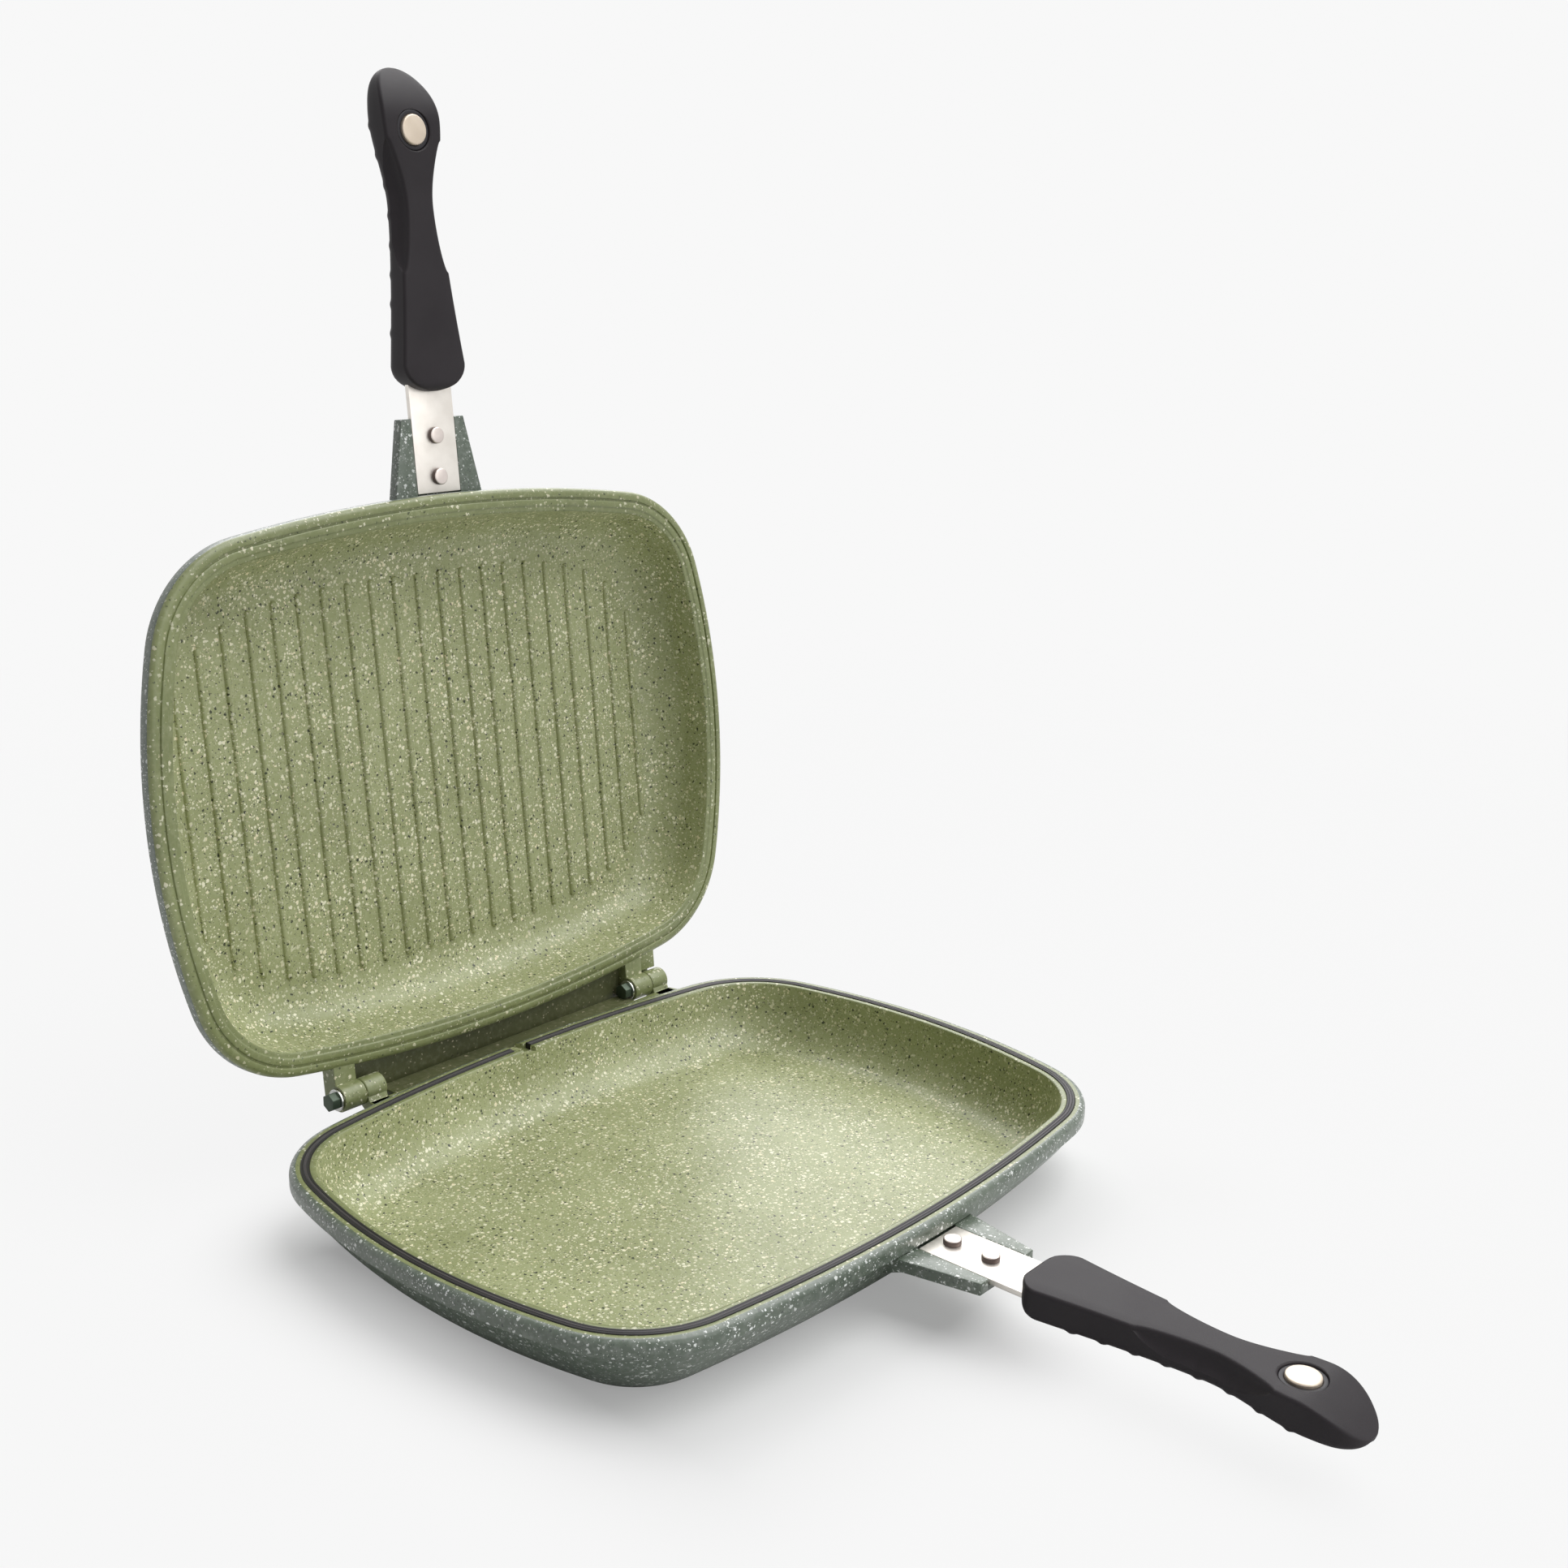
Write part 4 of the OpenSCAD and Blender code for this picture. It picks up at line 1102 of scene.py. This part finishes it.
@dataclass
class Hinges:
    """The cast knuckles, lugs, web, shelf and stops, and the pins and washers between them."""

    spots: Pair = (-86.2, 86.2)
    half_len: float = 5.5
    play: float = 0.3
    knuckle_r: float = 5.7
    lower_len: float = 10.5
    web_z: float = -5.8
    web_t: float = 3.3
    web_reach: float = 6.0
    root: float = 111.0
    shelf_z: float = -2.7
    shelf_t: float = 4.0
    shelf_back: float = 6.2
    ledge_back: float = 4.0
    lug_drop: float = 1.0
    lug_extra: float = 8.8
    stops: Pair = (-50.0, 50.0)
    stop_w: float = 6.0
    pin_r: float = 2.5
    pin_end: float = 2.5
    head_r: float = 4.0
    head_len: float = 3.9
    washer_r: float = 4.8
    washer_t: float = 1.0

    @staticmethod
    def across(y: float, z: float, x: float) -> Point:
        """Stands an outline of depth and height across the wall."""
        return x, y, z

    def swung(self, y: float, z: float) -> Pair:
        """A point behind the axis of the shut pan, where opening takes it."""
        a = radians(OPEN_ANGLE)
        return HINGE_Y + y * cos(a) + z * sin(a), HINGE_Z - y * sin(a) + z * cos(a)

    def lower(self) -> None:
        """Builds the lower half's knuckles, shelf and stops."""
        piece = Piece("lower_hinge_castings")
        start = self.half_len + self.play
        end, foot = start + self.lower_len, self.shelf_z - self.shelf_t
        arm = [(self.root, foot - 2.5), (HINGE_Y - 3.6, foot - 1.5),
               (HINGE_Y + 0.8, HINGE_Z - self.knuckle_r + 0.4), (HINGE_Y, HINGE_Z),
               (HINGE_Y - 4.6, HINGE_Z + 1.4), (HINGE_Y - 6.4, self.shelf_z), (self.root, self.shelf_z)]
        for x in self.spots:
            piece.rod(x + start, x + end, self.knuckle_r, bevel=0.8)
            piece.prism(arm, x + start + 0.1, x + end - 0.5, self.across)
        left, right, back = self.spots[0] + start, self.spots[1] + end, HINGE_Y - self.shelf_back
        shelf = [(left, self.root), (right, self.root - 2), (right + 3, self.root - 2),
                 (right + 3, self.root), (right, back), (left, back)]
        piece.prism(shelf, foot, self.shelf_z)
        # The ledge runs the shelf further back and gets the recess coating's painted shade, so that the gap
        # between the halves shows a dark sheet instead of the floor
        from_x, to_x = self.spots[0] + end + 3, self.spots[1] - self.half_len - 2
        near, far = back - 4, HINGE_Y + self.ledge_back
        ledge = [(from_x, near), (to_x, near), (to_x, far), (from_x, far)]
        piece.prism(ledge, foot + 0.05, self.shelf_z - 0.05, paint=1)
        low = self.swung(self.web_reach + self.play, self.knuckle_r)
        high = self.swung(self.web_reach + self.play, self.knuckle_r + self.web_t + 1.3)
        stop = [(self.root, low[1] - 11), (high[0], high[1] - 5), high, low, (self.root, low[1] - 0.6)]
        for x in self.stops:
            piece.prism(stop, x - self.stop_w / 2, x + self.stop_w / 2, self.across)
        piece.make(Half.LOWER, (Finish.LIP, Finish.RECESS_SHADE), bevel=0.45)

    def upper(self) -> None:
        """Builds the upper half's lugs and the web between them."""
        piece = Piece("upper_hinge_castings")
        foot, face, behind = self.web_z - self.web_t, HINGE_Z - self.lug_drop, HINGE_Y + self.web_reach
        lug = [(self.root, foot), (behind, foot), (HINGE_Y + 2.9, HINGE_Z), (HINGE_Y - 2.9, HINGE_Z),
               (HINGE_Y - 2.9, face), (self.root, face)]
        lip = [(self.root, foot), (behind, foot), (HINGE_Y + 5.6, self.web_z + 0.1),
               (HINGE_Y - 5.2, self.web_z + 0.1), (HINGE_Y - 6.5, face), (self.root, face)]
        for x in self.spots:
            piece.rod(x - self.half_len, x + self.half_len, self.knuckle_r, bevel=0.3)
            piece.prism(lug, x - self.half_len + 0.05, x + self.half_len - 0.05, self.across)
        last = self.spots[1] + self.half_len
        piece.prism(lip, last - 0.4, last + self.lug_extra, self.across)
        # The web between the lugs gets the recess coating, a painted shade
        web = [(self.root, foot), (behind, foot), (behind, self.web_z), (self.root, self.web_z)]
        into = self.half_len - 0.5
        piece.prism(web, self.spots[0] + into, self.spots[1] - into, self.across, paint=1)
        piece.make(Half.UPPER, (Finish.LIP, Finish.RECESS_SHADE), bevel=0.4)

    def pins(self) -> None:
        """Builds the pins with their hexagon heads, and the washers under them."""
        for x, side in zip(self.spots, ("left", "right")):
            washer = x - self.half_len - self.play - self.washer_t
            tip = x + self.half_len + self.play + self.lower_len - self.pin_end
            pin = Piece(f"{side}_hex_pin")
            pin.rod(washer - self.head_len, washer, self.head_r, bevel=0.35, sides=6, turn=90)
            pin.rod(washer - 0.1, tip, self.pin_r, bevel=0.2, sides=32)
            pin.make(Half.LOWER, (Finish.PIN,), (f"{side}_hinge_pin",), bevel=0.3)
            disc = Piece(f"{side}_washer_disc")
            disc.rod(washer + 0.02, washer + self.washer_t - 0.02, self.washer_r, bevel=0.2)
            disc.make(Half.LOWER, (Finish.WASHER,), (f"{side}_hinge_washer",))

    def build(self) -> None:
        """Builds all hinge parts."""
        self.lower()
        self.upper()
        self.pins()


@dataclass
class Studio:
    """Pale floor, soft light and the camera. Places are in metres in the shared frame."""

    backdrop: float = 0.938
    floor_colour: float = 0.815
    sky: float = 0.05
    # Name, direction that the light comes from, strength, and width in degrees
    lamps: tuple[tuple[str, Point, float, float], ...] = (
        ("key", (0.34, -0.34, 0.88), 2.15, 55), ("back", (0.53, 0.5, 0.68), 1.75, 55),
        ("front", (0.1, -0.92, 0.32), 0.6, 50))
    azimuth: float = -49.515
    elevation: float = 15.944
    roll: float = 1.398
    focal: float = 44.834
    place: Point = (-0.54671, -0.50499, 0.39313)
    floor_r: float = 1.3
    # Distances from the middle between which the floor's edge vanishes
    vanish: Pair = (0.75, 1.25)
    # The middle and half the size of a box round the pan, and the distances from it at which the floor's own
    # shade starts to give way to the backdrop's, and has done so by the given share
    pan_middle: Point = (0.0, -0.03, 0.0)
    pan_half: Point = (0.135, 0.105, 1.0)
    fade: Pair = (-0.045, 0.07)
    fade_share: float = 0.93

    def camera(self) -> None:
        """Sets up the camera."""
        data = bpy.data.cameras.new("camera")
        data.lens, data.sensor_width, data.clip_start, data.clip_end = self.focal, 36.0, 0.01, 50.0
        stand = Matrix.Translation(self.place)
        for axis, degrees in (("Z", self.azimuth), ("X", 90 - self.elevation), ("Z", self.roll)):
            stand @= Matrix.Rotation(radians(degrees), 4, axis)
        camera = link("camera", data)
        camera.matrix_world = stand
        bpy.context.scene.camera = camera

    def light(self) -> None:
        """Sets up three broad lamps, and a world that looks pale but gives little light."""
        for name, toward, strength, angle in self.lamps:
            data = bpy.data.lights.new(name, "SUN")
            data.energy, data.angle = strength, radians(angle)
            lamp = link(name, data)
            lamp.rotation_mode = "QUATERNION"
            lamp.rotation_quaternion = Vector(toward).to_track_quat("Z", "Y")
        s = Shader(bpy.data.worlds.new("world"))
        seen = reduce(Wire.highest, [s.ray(kind) for kind in ("Camera", "Glossy", "Transmission")])
        sky = s.node("Background", {"Color": (1.0, 1.0, 1.0), "Strength": self.sky})
        pale = s.node("Background", {"Color": (self.backdrop,) * 3})
        bpy.context.scene.world = s.end(s.node("MixShader", (seen, sky, pale)))

    def floor(self) -> None:
        """Builds the floor, which fades into the backdrop."""
        s = Shader(bpy.data.materials.new("floor_paper"))
        point = s.place()
        vanished = s.vector("LENGTH", point, output="Value").between(*self.vanish)
        aside = s.vector("ABSOLUTE", s.vector("SUBTRACT", point, self.pan_middle))
        outside = s.vector("MAXIMUM", s.vector("SUBTRACT", aside, self.pan_half), (0.0, 0.0, 0.0))
        beyond = s.vector("LENGTH", outside, output="Value")
        faded = beyond.between(*self.fade) * self.fade_share * s.ray("Camera")
        paper = s.node("BsdfDiffuse", {"Color": (self.floor_colour,) * 3})
        glow = s.node("Emission", {"Color": (self.backdrop,) * 3})
        shown = s.node("MixShader", (faded, paper, glow))
        clear = s.node("BsdfTransparent")
        mesh = bpy.data.meshes.new("floor")
        ring = [(x, y, 0) for x, y in circle(self.floor_r, steps=64)]
        mesh.from_pydata(ring, [], [tuple(range(len(ring)))])
        mesh.materials.append(s.end(s.node("MixShader", (vanished, shown, clear))))
        floor = link("floor", mesh)

    def build(self) -> None:
        """Builds the studio."""
        bpy.context.scene.view_settings.view_transform = "Standard"
        self.camera()
        self.light()
        self.floor()


def main() -> None:
    """Builds the studio and the pan."""
    logging.basicConfig(level=logging.INFO, format="%(name)s %(message)s")
    Studio().build()
    for half in Half:
        CastHalf(half).build()
        Handle(half).build()
    Seal().build()
    Hinges().build()
    LOG.info("boxes written")


if __name__ == "__main__":
    main()
